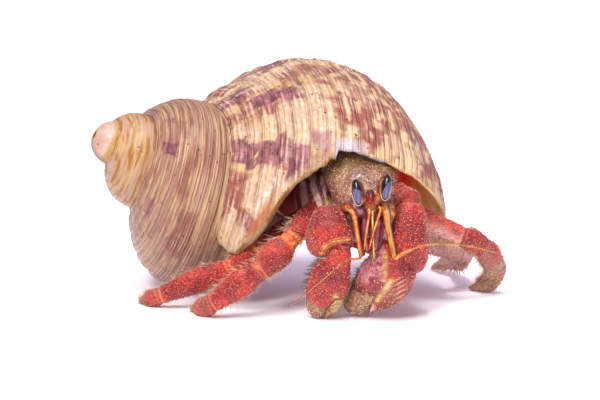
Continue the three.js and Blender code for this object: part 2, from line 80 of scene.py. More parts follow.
def places3(x, y, z):
    """Points from three arrays that are first stretched to one shape."""
    return np.stack(np.broadcast_arrays(x, y, z), axis=-1).astype(float)


def angles(low, high, count, ring=False):
    """Even angles in radians; a ring leaves out the last, which is its first again."""
    return np.radians(np.linspace(low, high, count, endpoint=not ring))


def globe(low, high, rows, columns):
    """Polar angles, turns and places on a unit ball, whose pole is its third way."""
    polar, turn = angles(low, high, rows)[:, None], angles(0, 360, columns, ring=True)[None, :]
    return polar, turn, places3(np.sin(polar) * np.cos(turn), np.sin(polar) * np.sin(turn),
                                np.cos(polar))


def front_view(points):
    """How far across and how high each place looks from the front."""
    return points[:, 0], points[:, 2] + SIGHT_DROP * (points[:, 1] - SIGHT_FROM)


def lattice(cell, seed):
    """A fixed random number from -1 to 1 for each whole-numbered cell."""
    steps = HASH_STEPS
    h = (cell[..., 0] * steps[0] + cell[..., 1] * steps[1] + cell[..., 2] * steps[2]
         + seed * steps[3]) & HASH_BITS
    h = ((h ^ (h >> 13)) * HASH_MIX) & HASH_BITS
    return ((h ^ (h >> 16)) & 0xffff) / 32767.5 - 1


def noise(p, size, seed=0, octaves=1):
    """Smooth noise from -1 to 1 over points p, with swells of about the given size."""
    total, weight, gain = 0.0, 0.0, 1.0
    q = np.asarray(p, float) / size
    for _ in range(octaves):
        cell = np.floor(q).astype(np.int64)
        f = q - cell
        f = f * f * (3 - 2 * f)
        value = 0.0
        for corner in range(8):
            step = np.array([corner & 1, corner >> 1 & 1, corner >> 2 & 1])
            share = np.prod(np.where(step == 1, f, 1 - f), axis=-1)
            value = value + share * lattice(cell + step, seed)
        total = total + gain * value
        weight += gain
        gain *= 0.5
        q = q * OCTAVE_SCALE + OCTAVE_SHIFT
    return total / weight


def curve_through(places, count):
    """Points and tangents at even steps along a smooth curve through the places."""
    p = np.array(places, float)
    p = np.vstack([2 * p[0] - p[1], p, 2 * p[-1] - p[-2]])
    fine = []
    for i in range(1, len(p) - 2):
        t = np.linspace(0, 1, 40, endpoint=i == len(p) - 3)[:, None]
        a, b, c, d = p[i - 1], p[i], p[i + 1], p[i + 2]
        fine.append(0.5 * (2 * b + (c - a) * t + (2 * a - 5 * b + 4 * c - d) * t ** 2
                           + (3 * b - a - 3 * c + d) * t ** 3))
    fine = np.vstack(fine)
    way = np.concatenate([[0], np.cumsum(np.linalg.norm(np.diff(fine, axis=0), axis=1))])
    at = np.linspace(0, way[-1], count)
    points = np.stack([np.interp(at, way, fine[:, k]) for k in range(3)], axis=-1)
    return points, unit(np.gradient(points, axis=0))


# Meshes ----------------------------------------------------------------------------------------

LIE, BAKE = "Lie", "OFBake"             # the UV maps of the skins and of the bristles


def new_object(name, data):
    obj = bpy.data.objects.new(name, data)
    bpy.context.scene.collection.objects.link(obj)
    return obj


def add_marks(obj, marks):
    """Float attributes of the points, each from one number or one for each point."""
    for key, values in marks.items():
        layer = obj.data.attributes.new(key, "FLOAT", "POINT")
        spread = np.broadcast_to(values, len(obj.data.vertices))
        layer.data.foreach_set("value", spread.astype(np.float32))


def add_uv(mesh, name, pairs):
    """A UV map from one pair for each point. A face over the seam takes its short way round."""
    index = np.zeros(len(mesh.loops), np.int32)
    mesh.loops.foreach_get("vertex_index", index)
    pairs = np.asarray(pairs, float)[index]
    counts = np.zeros(len(mesh.polygons), np.int32)
    mesh.polygons.foreach_get("loop_total", counts)
    face = np.repeat(np.arange(len(counts)), counts)
    high = np.zeros(len(counts))
    np.maximum.at(high, face, pairs[:, 0])
    if name == LIE:
        pairs[(high[face] > 0.75) & (pairs[:, 0] < 0.25), 0] += 1
    mesh.uv_layers.new(name=name).data.foreach_set("uv", pairs.astype(np.float32).ravel())


def make_object(name, points, faces, material, uv_name, uv, marks):
    """A smooth mesh piece from points in mm, with its UV map and its marks."""
    points = np.asarray(points, float)
    corners = points[np.array([f[:3] for f in faces])]
    volume = np.einsum("ij,ij->i", corners[:, 0], np.cross(corners[:, 1], corners[:, 2])).sum()
    if volume < 0:
        faces = [f[::-1] for f in faces]
    mesh = bpy.data.meshes.new(name)
    mesh.from_pydata(((points + MIDDLE) * MM).tolist(), [], [list(map(int, f)) for f in faces])
    mesh.polygons.foreach_set("use_smooth", [True] * len(mesh.polygons))
    add_uv(mesh, uv_name, uv)
    mesh.materials.append(material)
    obj = new_object(name, mesh)
    add_marks(obj, marks)
    return obj


def lofted(name, rings, material, **marks):
    """A closed skin over rings of points, one row for each ring, with a fan over each end."""
    rings = np.asarray(rings, float)
    rows, cols = rings.shape[:2]
    points = rings.reshape(-1, 3)
    faces = []
    for r in range(rows - 1):
        base = r * cols
        for c in range(cols):
            n = (c + 1) % cols
            faces.append((base + c, base + n, base + cols + n, base + cols + c))
    v = np.linspace(0, 1, rows)
    uv = np.stack([np.tile(np.arange(cols) / cols, rows), np.repeat(v, cols)], axis=-1)
    values = {k: np.broadcast_to(a, (rows, cols)).reshape(-1) for k, a in marks.items()}
    for row in (0, rows - 1):
        middle = len(points)
        points = np.vstack([points, rings[row].mean(axis=0)])
        uv = np.vstack([uv, [0.5, v[row]]])
        values = {k: np.append(a, a[row * cols:(row + 1) * cols].mean())
                  for k, a in values.items()}
        for c in range(cols):
            edge = (row * cols + c, row * cols + (c + 1) % cols)
            faces.append((middle, *(edge if row else edge[::-1])))
    return make_object(name, points, faces, material, LIE, uv, values)


def join(name, pieces):
    """One piece from several, which keeps their materials, UV maps and attributes."""
    with bpy.context.temp_override(active_object=pieces[0], selected_editable_objects=pieces,
                                   selected_objects=pieces):
        bpy.ops.object.join()
    pieces[0].name = name
    pieces[0].data.name = name
    return pieces[0]


def make_plain(obj):
    """Turns what the piece's modifiers make into its own smooth mesh."""
    plain = bpy.data.meshes.new_from_object(
        obj.evaluated_get(bpy.context.evaluated_depsgraph_get()))
    obj.modifiers.clear()
    obj.data = plain
    plain.name = obj.name
    plain.polygons.foreach_set("use_smooth", [True] * len(plain.polygons))


def node_copy(name, node, size, rounds):
    """A node's own mesh with its doubles merged, evenly meshed at the given size, and softened."""
    obj = new_object(name, bpy.data.objects[node].data.copy())
    obj.modifiers.new("weld", "WELD").merge_threshold = 1e-6
    remesh = obj.modifiers.new("remesh", "REMESH")
    remesh.mode = "VOXEL"
    remesh.voxel_size = size * MM
    soften = obj.modifiers.new("soften", "SMOOTH")
    soften.factor = 0.5
    soften.iterations = rounds
    make_plain(obj)
    obj.data.materials.clear()
    return obj


def mesh_points(obj):
    """The piece's points and outward ways, in the part's raw mm."""
    count = len(obj.data.vertices)
    flat, ways = np.zeros(count * 3, np.float32), np.zeros(count * 3, np.float32)
    obj.data.vertices.foreach_get("co", flat)
    obj.data.vertices.foreach_get("normal", ways)
    return flat.reshape(-1, 3) / MM - MIDDLE, ways.reshape(-1, 3).astype(float)


def move_points(obj, points):
    obj.data.vertices.foreach_set("co", ((points + MIDDLE) * MM).astype(np.float32).ravel())
    obj.data.update()


def rod(name, places, radii, material, rows=60, sides=14, rings_per_mm=0.0, **marks):
    """A rod with round ends along a smooth curve, plain or finely ringed."""
    points, ways = curve_through(places, rows)
    length = np.linalg.norm(np.diff(points, axis=0), axis=1).sum()
    t = np.linspace(0, 1, rows)
    ringed = np.sin(t * length * rings_per_mm * TAU)
    radius = lerp(radii[0], radii[1], t) * (1 + 0.08 * ringed)
    to_end = np.minimum(t, 1 - t) * length / radius
    radius = radius * np.sqrt(np.maximum(0.06, 1 - (1 - np.minimum(1, to_end)) ** 2))
    side = unit(np.cross(ways, vec(0, 1, 0.2)))
    lift = np.cross(ways, side)
    a = angles(0, 360, sides, ring=True)[None, :, None]
    rings = points[:, None] + radius[:, None, None] * (
        np.cos(a) * side[:, None] + np.sin(a) * lift[:, None])
    marks.update(ring=ringed[:, None], half=np.cos(a[..., 0]),
                 edge=np.maximum(bump(t, 0, 0.07), bump(t, 1, 0.07))[:, None])
    return lofted(name, rings, material, **marks)


def keep(obj, slot, *nodes):
    """The piece rides on the one body and stands for these nodes. The slot is not used."""
    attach(obj, "root")
    if nodes:
        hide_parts(*nodes)
    return obj


# Shading ---------------------------------------------------------------------------------------

# Every colour by its name, as it looks on a screen.
TONES = {
    # The shell's outer side, its lip and its inner wall.
    "sand": "dcc08c", "russet": "a65f50", "dusk": "c09a98", "light sand": "e6c8a0",
    "brick": "8a3e38", "straw": "dcc494", "clay": "a0604c", "faded plum": "b08482",
    "honey": "b4802c", "pale straw": "e2c88e", "oat": "d6c0ac", "chestnut": "944a3c",
    "buff": "d4b488", "cream": "e6d2b6", "plum": "6c2840", "mauve": "b06e7a",
    "dash cream": "ecd4a8", "ridge cream": "efdab8", "thread brown": "6a3030",
    "groove brown": "5e2c34", "chalk": "f3e6d0", "suture shade": "7a4638", "late veil": "e2d7d9",
    "early veil": "dccccc", "first veil": "ccb8ae", "worn bone": "b08876", "pale bone": "ccab9c",
    "ochre": "a8853f", "tip hole shade": "3a241c", "pit": "4a2a22", "lip straw": "d0b67c",
    "lip ochre": "b48a4a", "lip cream": "dcc49a", "lip orange": "9c4c14", "nacre": "b4a4a8",
    "dull nacre": "a08a8a", "lit red": "ff2818", "lit orange": "f07c34", "lit cream": "ecb878",
    "inner crimson": "a02430", "lip glow": "d88b48", "mouth brown": "a07040",
    "mouth buff": "c8a878", "mouth cream": "dcb87c", "black": "000000",
    # The shield.
    "shield brown": "74483a", "shield tan": "a07858", "wine": "64282c", "grain cream": "dcc09c",
    "flank red": "8a4038", "olive band": "86693a",
    # The flesh.
    "rose": "cf8c90", "pale rose": "f4d2c6", "dust": "8c7058", "fold wine": "682434",
    "night": "200a14", "umber": "643a28", "gold": "b08438", "hollow red": "8c1c28",
    "face red": "b4484a", "rust": "b8442c", "dark lilac": "6c3040", "lilac": "ac7480",
    # The eyes and their stalks.
    "dark violet": "3a3050", "violet": "6c6184", "eye shade": "2a2030", "dark_reflection": "020203",
    "eye edge": "100a14", "burnt orange": "8c3c14", "stalk orange": "c9742a", "sheath": "451808",
    "eye rim": "e0bc9c",
    # The limbs.
    "crimson": "8e0c1a", "strawberry": "d23222", "deep crimson": "5a0a16", "bead gap": "4c0812",
    "bead top": "dc6450", "coral": "da7860", "joint red": "b43818", "joint orange": "dc7630",
    "palm mauve": "8a2440", "palm pink": "ca8c8e", "tan": "86523c", "light tan": "b98e6a",
    "tan spot": "54302a", "collar pink": "e8a58e", "blush": "f2c2b6", "dull yellow": "b8984c",
    "pale yellow": "e6d090", "soot": "3a1c1c", "claw tip": "2c1a16",
    # Granules and bristles.
    "granule crimson": "84121a", "granule red": "b0302a", "granule mauve": "b87478",
    "granule orange": "d4702a", "granule tan": "946048", "granule blush": "d8a098",
    "crown pink": "e8907a", "crown cream": "ecd2ae", "bristle root": "b85a4c",
    "bristle gold": "f2d4b0", "bristle brown": "57301f",
    # Feelers and mouthparts.
    "feeler rust": "b04a10", "feeler orange": "d27a22", "olive": "b08a34", "pale olive": "d8bc6c",
    "base rust": "842c14", "base orange": "c47434", "stripe olive": "a08650",
    "feeler light": "e4ae68", "feeler edge shade": "7c2c10", "stripe brown": "7a3a14",
    "rod end": "9c4a18", "ring brown": "6a3a14", "mouth night": "3c0a14",
    "mouth maroon": "781a24", "mouth plum": "7c2c48", "mouth pink": "b4646e",
    "mouth rim": "dc8a6a",
    # The floor.
    "floor cool": "fbf5fa", "floor white": "fffdff",
}


def linear(tone):
    """The linear colour of a tone."""
    parts = [int(TONES[tone][i:i + 2], 16) / 255 for i in (0, 2, 4)]
    return [c / 12.92 if c <= 0.04045 else ((c + 0.055) / 1.055) ** 2.4 for c in parts] + [1.0]


class Field:
    """A value that varies over the surface. Arithmetic with it adds nodes to its tree."""

    def __init__(self, shade, socket):
        self.shade, self.socket = shade, socket

    def __add__(self, other):
        return self.shade.math("ADD", self, other)

    def __sub__(self, other):
        return self.shade.math("SUBTRACT", self, other)

    def __rsub__(self, other):
        return self.shade.math("SUBTRACT", other, self)

    def __mul__(self, other):
        return self.shade.math("MULTIPLY", self, other)

    def __truediv__(self, other):
        return self.shade.math("DIVIDE", self, other)

    __radd__ = __add__
    __rmul__ = __mul__


class Shade:
    """A node tree under construction: small calls that add a node and give back its output."""

    def __init__(self, tree):
        self.tree = tree

    def node(self, kind, inputs=None, **settings):
        """A node with these settings, its inputs by name or number, and its outputs as fields."""
        node = self.tree.nodes.new(kind)
        for key, value in settings.items():
            setattr(node, key, value)
        for key, value in (inputs or {}).items():
            self.feed(node.inputs[key], value)
        return {key: Field(self, socket) for i, socket in enumerate(node.outputs)
                for key in (i, socket.name)}

    def feed(self, socket, value):
        if isinstance(value, Field):
            self.tree.links.new(value.socket, socket)
        elif isinstance(value, str) and socket.type == "RGBA":
            socket.default_value = linear(value)
        elif value is not None:
            socket.default_value = value

    def math(self, operation, *values):
        return self.node("ShaderNodeMath", dict(enumerate(values)), operation=operation)[0]

    def vector(self, operation, place, by):
        return self.node("ShaderNodeVectorMath", {0: place, 1: by}, operation=operation)[0]

    def ramp(self, x, low, high, to_low=0.0, to_high=1.0):
        """A clamped smooth step of x from low to high."""
        return self.node("ShaderNodeMapRange", dict(enumerate((x, low, high, to_low, to_high))),
                         interpolation_type="SMOOTHSTEP")[0]

    def mix(self, share, a, b, blend="MIX"):
        return self.node("ShaderNodeMix", {0: share, 6: a, 7: b}, data_type="RGBA",
                         blend_type=blend, clamp_factor=True)[2]

    def noise(self, where, scale, detail=2.0, rough=0.5, distortion=0.0):
        return self.node("ShaderNodeTexNoise", {
            "Vector": where, "Scale": scale, "Detail": detail, "Roughness": rough,
            "Distortion": distortion})[0]

    def cells(self, where, scale):
        """How far each place is from the middle of its cell, and the cell's own colour."""
        cells = self.node("ShaderNodeTexVoronoi", {"Vector": where, "Scale": scale})
        return cells["Distance"], cells["Color"]

    def mark(self, name):
        """A float attribute of the piece."""
        return self.node("ShaderNodeAttribute", attribute_name=name)["Fac"]

    def place(self):
        return self.node("ShaderNodeTexCoord")["Object"]

    def split(self, vector):
        return self.node("ShaderNodeSeparateXYZ", {0: vector})

    def combine(self, x=0.0, y=0.0, z=0.0):
        return self.node("ShaderNodeCombineXYZ", {0: x, 1: y, 2: z})[0]

    def bump(self, height, strength, distance):
        return self.node("ShaderNodeBump", {"Height": height, "Strength": strength,
                                            "Distance": distance})[0]

    def effect(self, group, **inputs):
        """An effect placed with its own values: its outputs by name."""
        return self.node("ShaderNodeGroup", inputs, node_tree=group)


def new_effect(name, inputs, outputs, build):
    """A shader node group; build gets its tree and its inputs, and gives back its outputs."""
    group = bpy.data.node_groups.new(name, "ShaderNodeTree")
    for way, sockets in (("INPUT", inputs), ("OUTPUT", outputs)):
        for key, kind in sockets.items():
            group.interface.new_socket(key, in_out=way, socket_type="NodeSocket" + kind)
    s = Shade(group)
    entry = s.node("NodeGroupInput")
    s.node("NodeGroupOutput", build(s, **{key: entry[key] for key in inputs}))
    return group


def mottled(s, place, scale, detail, rough, low, high, dark, light):
    """Two tones in soft clouds."""
    clouds = s.noise(place, scale, detail, rough)
    return {"colour": s.mix(s.ramp(clouds, low, high), dark, light), "clouds": clouds}


def tinted(s, colour, tone, mark, clouds, share, low, high):
    """A tone laid over a colour where a mark is strong, with a cloudy edge."""
    return {"colour": s.mix(s.ramp(mark + (clouds - 0.5) * share, low, high), colour, tone)}


def grained(s, place, scale, colour, crown, wide, share, foot):
    """Fine raised grains: their crowns laid over a colour, and their height."""
    far, _ = s.cells(place, scale)
    return {"colour": s.mix(s.ramp(far, wide, 0.12) * share, colour, crown),
            "height": s.ramp(far, foot, 0.0)}


MOTTLE = new_effect("Mottle", {
    "place": "Vector", "scale": "Float", "detail": "Float", "rough": "Float", "low": "Float",
    "high": "Float", "dark": "Color", "light": "Color"},
    {"colour": "Color", "clouds": "Float"}, mottled)
TINT = new_effect("Tint", {
    "colour": "Color", "tone": "Color", "mark": "Float", "clouds": "Float", "share": "Float",
    "low": "Float", "high": "Float"}, {"colour": "Color"}, tinted)
GRAIN = new_effect("Grain", {
    "place": "Vector", "scale": "Float", "colour": "Color", "crown": "Color", "wide": "Float",
    "share": "Float", "foot": "Float"}, {"colour": "Color", "height": "Float"}, grained)


def mottle(s, place, scale, detail, rough, low, high, dark, light):
    """The colour and the clouds of the shared effect."""
    made = s.effect(MOTTLE, place=place, scale=scale, detail=detail, rough=rough, low=low,
                    high=high, dark=dark, light=light)
    return made["colour"], made["clouds"]


def new_material(name):
    """A material with an empty Principled shader: (material, tree maker, shader node)."""
    material = bpy.data.materials.new(name)
    material.use_nodes = True
    return material, Shade(material.node_tree), material.node_tree.nodes["Principled BSDF"]


def finish_shader(s, shader, colour, rough, normal=None, **plain):
    """Feeds colour, roughness and normal, and sets the plain sockets on the shader itself."""
    for key, value in (("Base Color", colour), ("Roughness", rough), ("Normal", normal)):
        s.feed(shader.inputs[key], value)
    for key, value in plain.items():
        shader.inputs[key.replace("_", " ")].default_value = value


# Shell -----------------------------------------------------------------------------------------

APEX = vec(-33.5, -5.4, 26.6)
SPIRE_LIFT, SPIRE_TURN, SPIRE_ROLL = np.radians([24, 18.6, 9])
WIDEN, LENGTHEN = 0.1451, 0.135                 # growth of the coil for each radian
WORN, WORN_END = 0.1347, -720
WHORL_RADIUS, WHORL_REACH, WHORL_HALF, INNER_GAP = 6.3, 17.7, 15.3, 0.7
AXIS_TRAVEL = 32.5
WHORL_LEAN = -0.156
CORD_FIRST, CORD_STEP, CORD_RISE = 82, 15, 0.42     # two angles round the whorl, and a height
SHELL_WALL = 1.5
SHELL_START, EARLY_END, MOUTH_DEPTH = -972, -120, -60
OVERLAP = 4                             # how far the last turn runs back over the early ones
RAMP_AT, RAMP_HALF, RAMP_SINK = 62, 22, 0.7
DOME_RADIUS, DOME_PROUD = 3.6, 0.3
LIP_EVEN, LIP_STEP, LIP_SWELL, LIP_TONGUE = 68.5, 72, 10, 42
STEP_AT, SUTURE_AT, BEHIND_LIP = 33, 78, 135
LIP_THIN, LIP_THICK = 0.75, 1.7
SLANT, SLANT_AT = 0.08, 55                      # growth lines lean, and are given where phi is 55
# Growth steps along the whorl, each with its height, and the raised lines of old lips.
GROWTH_STEPS = ((-30, 0.3), (-12, 0.3), (4, 0.26), (10.5, 0.3), (18, 0.26), (-96, 0.25),
                (-238, 0.25), (50, 0.12), (72, 0.12))
LAMELLAE = (-13, 3.5, 10, 17.5, 26)

SPIRE_UP = vec(0, math.sin(SPIRE_ROLL), math.cos(SPIRE_ROLL))
SPIRE_BACK = vec(0, math.cos(SPIRE_ROLL), -math.sin(SPIRE_ROLL))
AXIS = (vec(-1, 0, 0) * math.cos(SPIRE_LIFT) * math.cos(SPIRE_TURN)
        + SPIRE_UP * math.sin(SPIRE_LIFT) * math.cos(SPIRE_TURN)
        - SPIRE_BACK * math.sin(SPIRE_TURN))
TOPWARD = unit(SPIRE_UP - AXIS * SPIRE_UP.dot(AXIS))
FRONTWARD = unit(np.cross(TOPWARD, AXIS))


def whorl_point(theta, phi, rise=0.0):
    """Places on the whorl. Theta runs with growth and phi round the whorl, both in degrees."""
    th, ph = np.radians(theta), np.radians(phi)
    wide = np.exp(WIDEN * th)
    size = wide + WORN * smooth(theta, SHELL_START, WORN_END)
    rise = rise - RAMP_SINK * smooth(1 - np.abs(phi - RAMP_AT) / RAMP_HALF, 0, 1) \
        * smooth(theta, -180, -60)
    across = np.where(np.cos(ph) > 0, WHORL_REACH, WHORL_RADIUS - INNER_GAP)
    out = (across * size + rise) * np.cos(ph)
    along = (WHORL_HALF * size + rise) * np.sin(ph)
    lean, tilt = math.cos(WHORL_LEAN), math.sin(WHORL_LEAN)
    radius = np.maximum(wide * INNER_GAP * 0.6, wide * WHORL_RADIUS + out * lean - along * tilt)
    travel = -np.exp(LENGTHEN * th) * AXIS_TRAVEL + out * tilt + along * lean
    return (APEX + (radius * np.cos(th))[..., None] * TOPWARD
            + (radius * np.sin(th))[..., None] * FRONTWARD + travel[..., None] * AXIS)


def lip_angle(phi):
    """Where the outer lip ends: even, but for a chipped step and a long tongue at the suture."""
    t = np.clip((phi - STEP_AT) / (SUTURE_AT - STEP_AT), 0, 1)
    tongue = LIP_STEP + LIP_SWELL * smooth(t, 0, 0.4) + LIP_TONGUE * smooth(t, 0.33, 0.95)
    even = (phi <= STEP_AT) | (phi > BEHIND_LIP)
    chips = np.where(even, 0.5, 1.5) * noise(places3(phi * 0.4, 0, 0), 1.0, 5, 2)
    return np.where(even, LIP_EVEN, tongue) + chips


def cord_place(phi, per_cord=1, offset=0.0):
    """The number of the cord at phi, and how near its crest this is, from 0 to 1."""
    x = (CORD_FIRST - phi) / CORD_STEP * per_cord + offset
    return np.round(x), np.abs(np.cos(np.pi * x))


def growth_line(at, phi):
    return at + SLANT * (SLANT_AT - phi)


def cord_relief(theta, phi):
    """Broad cords, finer ones on them, growth ripples, lamellae and wear."""
    number, crest = cord_place(phi)
    _, fine_crest = cord_place(phi, 2, 0.5)
    size = np.minimum(np.exp(WIDEN * np.radians(theta)) + 0.1, 1)
    corded = smooth(phi, -112, -104) * (1 - smooth(phi, 92, 98))
    strong = 1 + 0.3 * np.sin(number * 2.4 + 0.6) + 0.2 * np.sin(number * 1.1 + theta / 70)
    kept = 0.35 + 0.65 * smooth(theta, -640, -420)
    cords = CORD_RISE / 2 * kept * (0.75 * (2 * crest ** 0.7 - 1) * strong
                                    + 0.45 * (2 * fine_crest ** 0.6 - 1))
    lines = places3(theta * 1.1 + 2 * np.sin(phi / 9), phi * 0.05, 0)
    ripples = 0.07 * noise(lines, 1.6, 2, 2)
    steps = 0.0
    for at, height in GROWTH_STEPS:
        drift = growth_line(at, phi)
        steps = steps + height * (smooth(theta, drift - 7, drift)
                                  - smooth(theta, drift, drift + 0.7))
    blocks, clouds = places3(theta / 9, number * 3.1, 0), places3(theta / 14, phi / 22, 0)
    worn = 0.10 * noise(blocks, 1.0, 8) + 0.14 * noise(clouds, 1.0, 9, 2)
    rise = np.where(corded > 0, cords * corded - CORD_RISE / 2 * (1 - corded), -CORD_RISE / 2)
    lobes = 0.6 * smooth(np.cos(np.radians(theta + 8) * 11), -0.2, 1) * bump(phi, 72, 19) \
        * smooth(theta, -95, -70) * (1 - smooth(theta, 25, 45))
    return (rise + (ripples + steps + worn + lobes) * corded) * size


# Patches of colour, as theta, phi, half length, half width, and strength.
PURPLE = [
    (5, 47, 9, 8, 1), (21, 74, 9, 7, 0.9), (37, 62, 5, 7, 1), (41, 51, 5, 4, 0.8),
    (35, 39, 6, 7, 0.55), (73, 74, 7, 6, 0.9), (71, 61, 6, 7, 1), (75, 50, 8, 5, 1),
    (70, 39, 9, 6, 0.6), (55, -8, 8, 7, 0.7), (40, 22, 7, 7, 0.3), (-18, 60, 8, 14, 0.8),
    (-52, 52, 9, 14, 0.8), (-84, 58, 8, 14, 0.8), (-30, 20, 8, 14, 0.6), (-64, 10, 8, 14, 0.6),
    (-279, 57, 7, 8, 0.75), (-225, 60, 8, 7, 0.6), (-310, 60, 6, 9, 0.5),
]
CREAM = [
    (16, 41, 6, 9, 0.8), (57, 62, 8, 5, 0.9), (58, 53, 9, 4, 0.8), (56, 41, 14, 7.5, 1),
    (43, 20, 5, 8, 0.6), (60, 74, 8, 6, 0.7), (89, 60, 9, 11, 0.9), (66, 3, 4, 6, 0.6),
    (112, 69, 6, 8, 0.8), (10, 56, 9, 6, 0.8), (24, 57, 5, 6, 0.6), (-36, 50, 8, 12, 0.7),
    (-70, 56, 8, 12, 0.7), (14, 22, 6, 8, 0.6),
]
BROWN = [
    (24, 41, 6, 8, 0.7), (60, 28, 9, 6, 0.75), (60, 14, 9, 8, 0.8), (54, 4, 8, 5, 0.7),
    (36, 24, 8, 8, 0.7), (30, 5, 10, 12, 0.7), (104, 72, 6, 6, 1), (95, 74, 8, 6, 0.6),
    (45, -6, 10, 9, 0.6), (55, -30, 12, 14, 0.6), (-226, 24, 18, 9, 0.7), (-260, 36, 16, 6, 0.6),
    (-300, 44, 12, 8, 0.5),
]


def patch_mask(patches, theta, phi):
    """How strongly the patches colour each place; each cord carries them a little shifted."""
    number, _ = cord_place(phi)
    wander = places3(theta / 7, phi / 9, 0)
    shift = 2.2 * np.sin(number * 2.9 + 0.8) + 1.6 * np.sin(number * 5.3) \
        + 3.5 * noise(wander, 1.0, 41, 2)
    phi = phi + 4 * noise(wander, 1.0, 42, 2)
    total = 0.0
    for at, round_at, half, wide, strength in patches:
        d = np.maximum(np.abs(theta + shift - at) / half, np.abs(phi - round_at) / wide)
        total = np.maximum(total, strength * (1 - smooth(d, 0.65, 1.4)))
    return total


def shell_columns():
    """Places round the whorl, close together on the side with the cords."""
    close = np.arange(97, -109, -1.3)
    wide = np.linspace(close[-1] - 6, close[0] - 360 + 6, 19)
    return np.concatenate([close, wide])[None, :]


def shell_marks(theta, phi):
    lamella = sum(bump(theta, growth_line(at, phi), 1.5) for at in LAMELLAE) * bump(phi, 66, 30)
    old_lip = 0.8 * bump(theta, lip_angle(phi) - 13, 4.5) * bump(phi, 62, 13)
    return {"theta": theta, "phi": phi, "purple": patch_mask(PURPLE, theta, phi),
            "cream": patch_mask(CREAM, theta, phi), "brown": patch_mask(BROWN, theta, phi),
            "lamella": lamella + old_lip}


def shell_spire(material):
    """The early whorls with the worn dome over their start."""
    theta, phi = np.linspace(SHELL_START, EARLY_END, 520)[:, None], shell_columns()
    rings = whorl_point(theta, phi, cord_relief(theta, phi))
    rings[..., 2] = np.maximum(rings[..., 2], 0.01)
    whorls = lofted("spire_whorls", rings, material, lip=0, inside=0,
                    apex=smooth(theta, -850, -900), **shell_marks(theta, phi))
    polar, turn, ball = globe(4, 116, 40, 64)
    way = ball @ np.array([TOPWARD, FRONTWARD, AXIS])
    pit = 1 - 0.16 * bump(np.degrees(polar), 0, 16)
    girth = DOME_RADIUS * pit + 0.09 * noise(way * 3, 1.2, 3, 2)
    dome = lofted("spire_dome", APEX + AXIS * (DOME_PROUD - DOME_RADIUS) + way * girth[..., None],
                  material, theta=SHELL_START + 3 * np.degrees(turn), phi=60 - np.degrees(polar),
                  purple=0, lamella=0, cream=0.4, brown=0, lip=0, inside=0, apex=1)
    return join("shell_spire", [whorls, dome])


def shell_turn(material):
    """The last turn: its skin with the lip's edge and the inner wall behind it, in one loft."""
    phi = shell_columns()
    lip = lip_angle(phi)
    thick = lerp(LIP_THIN, LIP_THICK, smooth(phi, 30, 36)) * (1 - 0.5 * smooth(phi, 84, 95))
    start = EARLY_END - OVERLAP
    theta = lerp(start, lip, np.linspace(0, 1, 440)[:, None])
    rise = cord_relief(theta, phi)
    rise = lerp(rise, rise * 0.6 - 0.12 * thick, smooth(theta, lip - 5, lip) ** 2)
    rise = rise - 0.7 * (1 - smooth(theta, start, start + 1.5)) + 0.04
    edge = angles(12, 168, 9)[:, None]
    edge_rise = rise[-1:] - thick * (1 - np.cos(edge)) / 2 \
        + 0.14 * noise(places3(phi * 0.5, edge * 3, 0), 1.0, 4, 2)
    inner = lerp(lip, MOUTH_DEPTH, np.linspace(0.01, 1, 60)[:, None] ** 1.4)
    depth = lip - inner
    inner_rise = rise[-1:] * (1 - smooth(depth, 0, 6)) \
        - lerp(thick, SHELL_WALL, smooth(depth, 0, 15))
    everywhere = np.vstack([theta, lip + np.sin(edge) * thick, inner])
    rings = whorl_point(everywhere, phi, np.vstack([rise, edge_rise, inner_rise]))
    rim = np.ones_like(edge_rise)
    return lofted(
        "shell_turn", rings, material, apex=0, **shell_marks(everywhere, phi),
        lip=np.vstack([smooth(theta, lip - 16, lip), rim, 1 - smooth(depth, 0, 10)]),
        inside=np.vstack([0 * theta, rim * edge / math.pi, np.ones_like(inner)]))


def cord_shades(s, phi, per_cord, offset=0.0):
    """What cord_place gives, as fields."""
    cord = (CORD_FIRST - phi) / (CORD_STEP / per_cord) + offset
    return s.math("ROUND", cord), s.math("ABSOLUTE", s.math("COSINE", cord * math.pi))


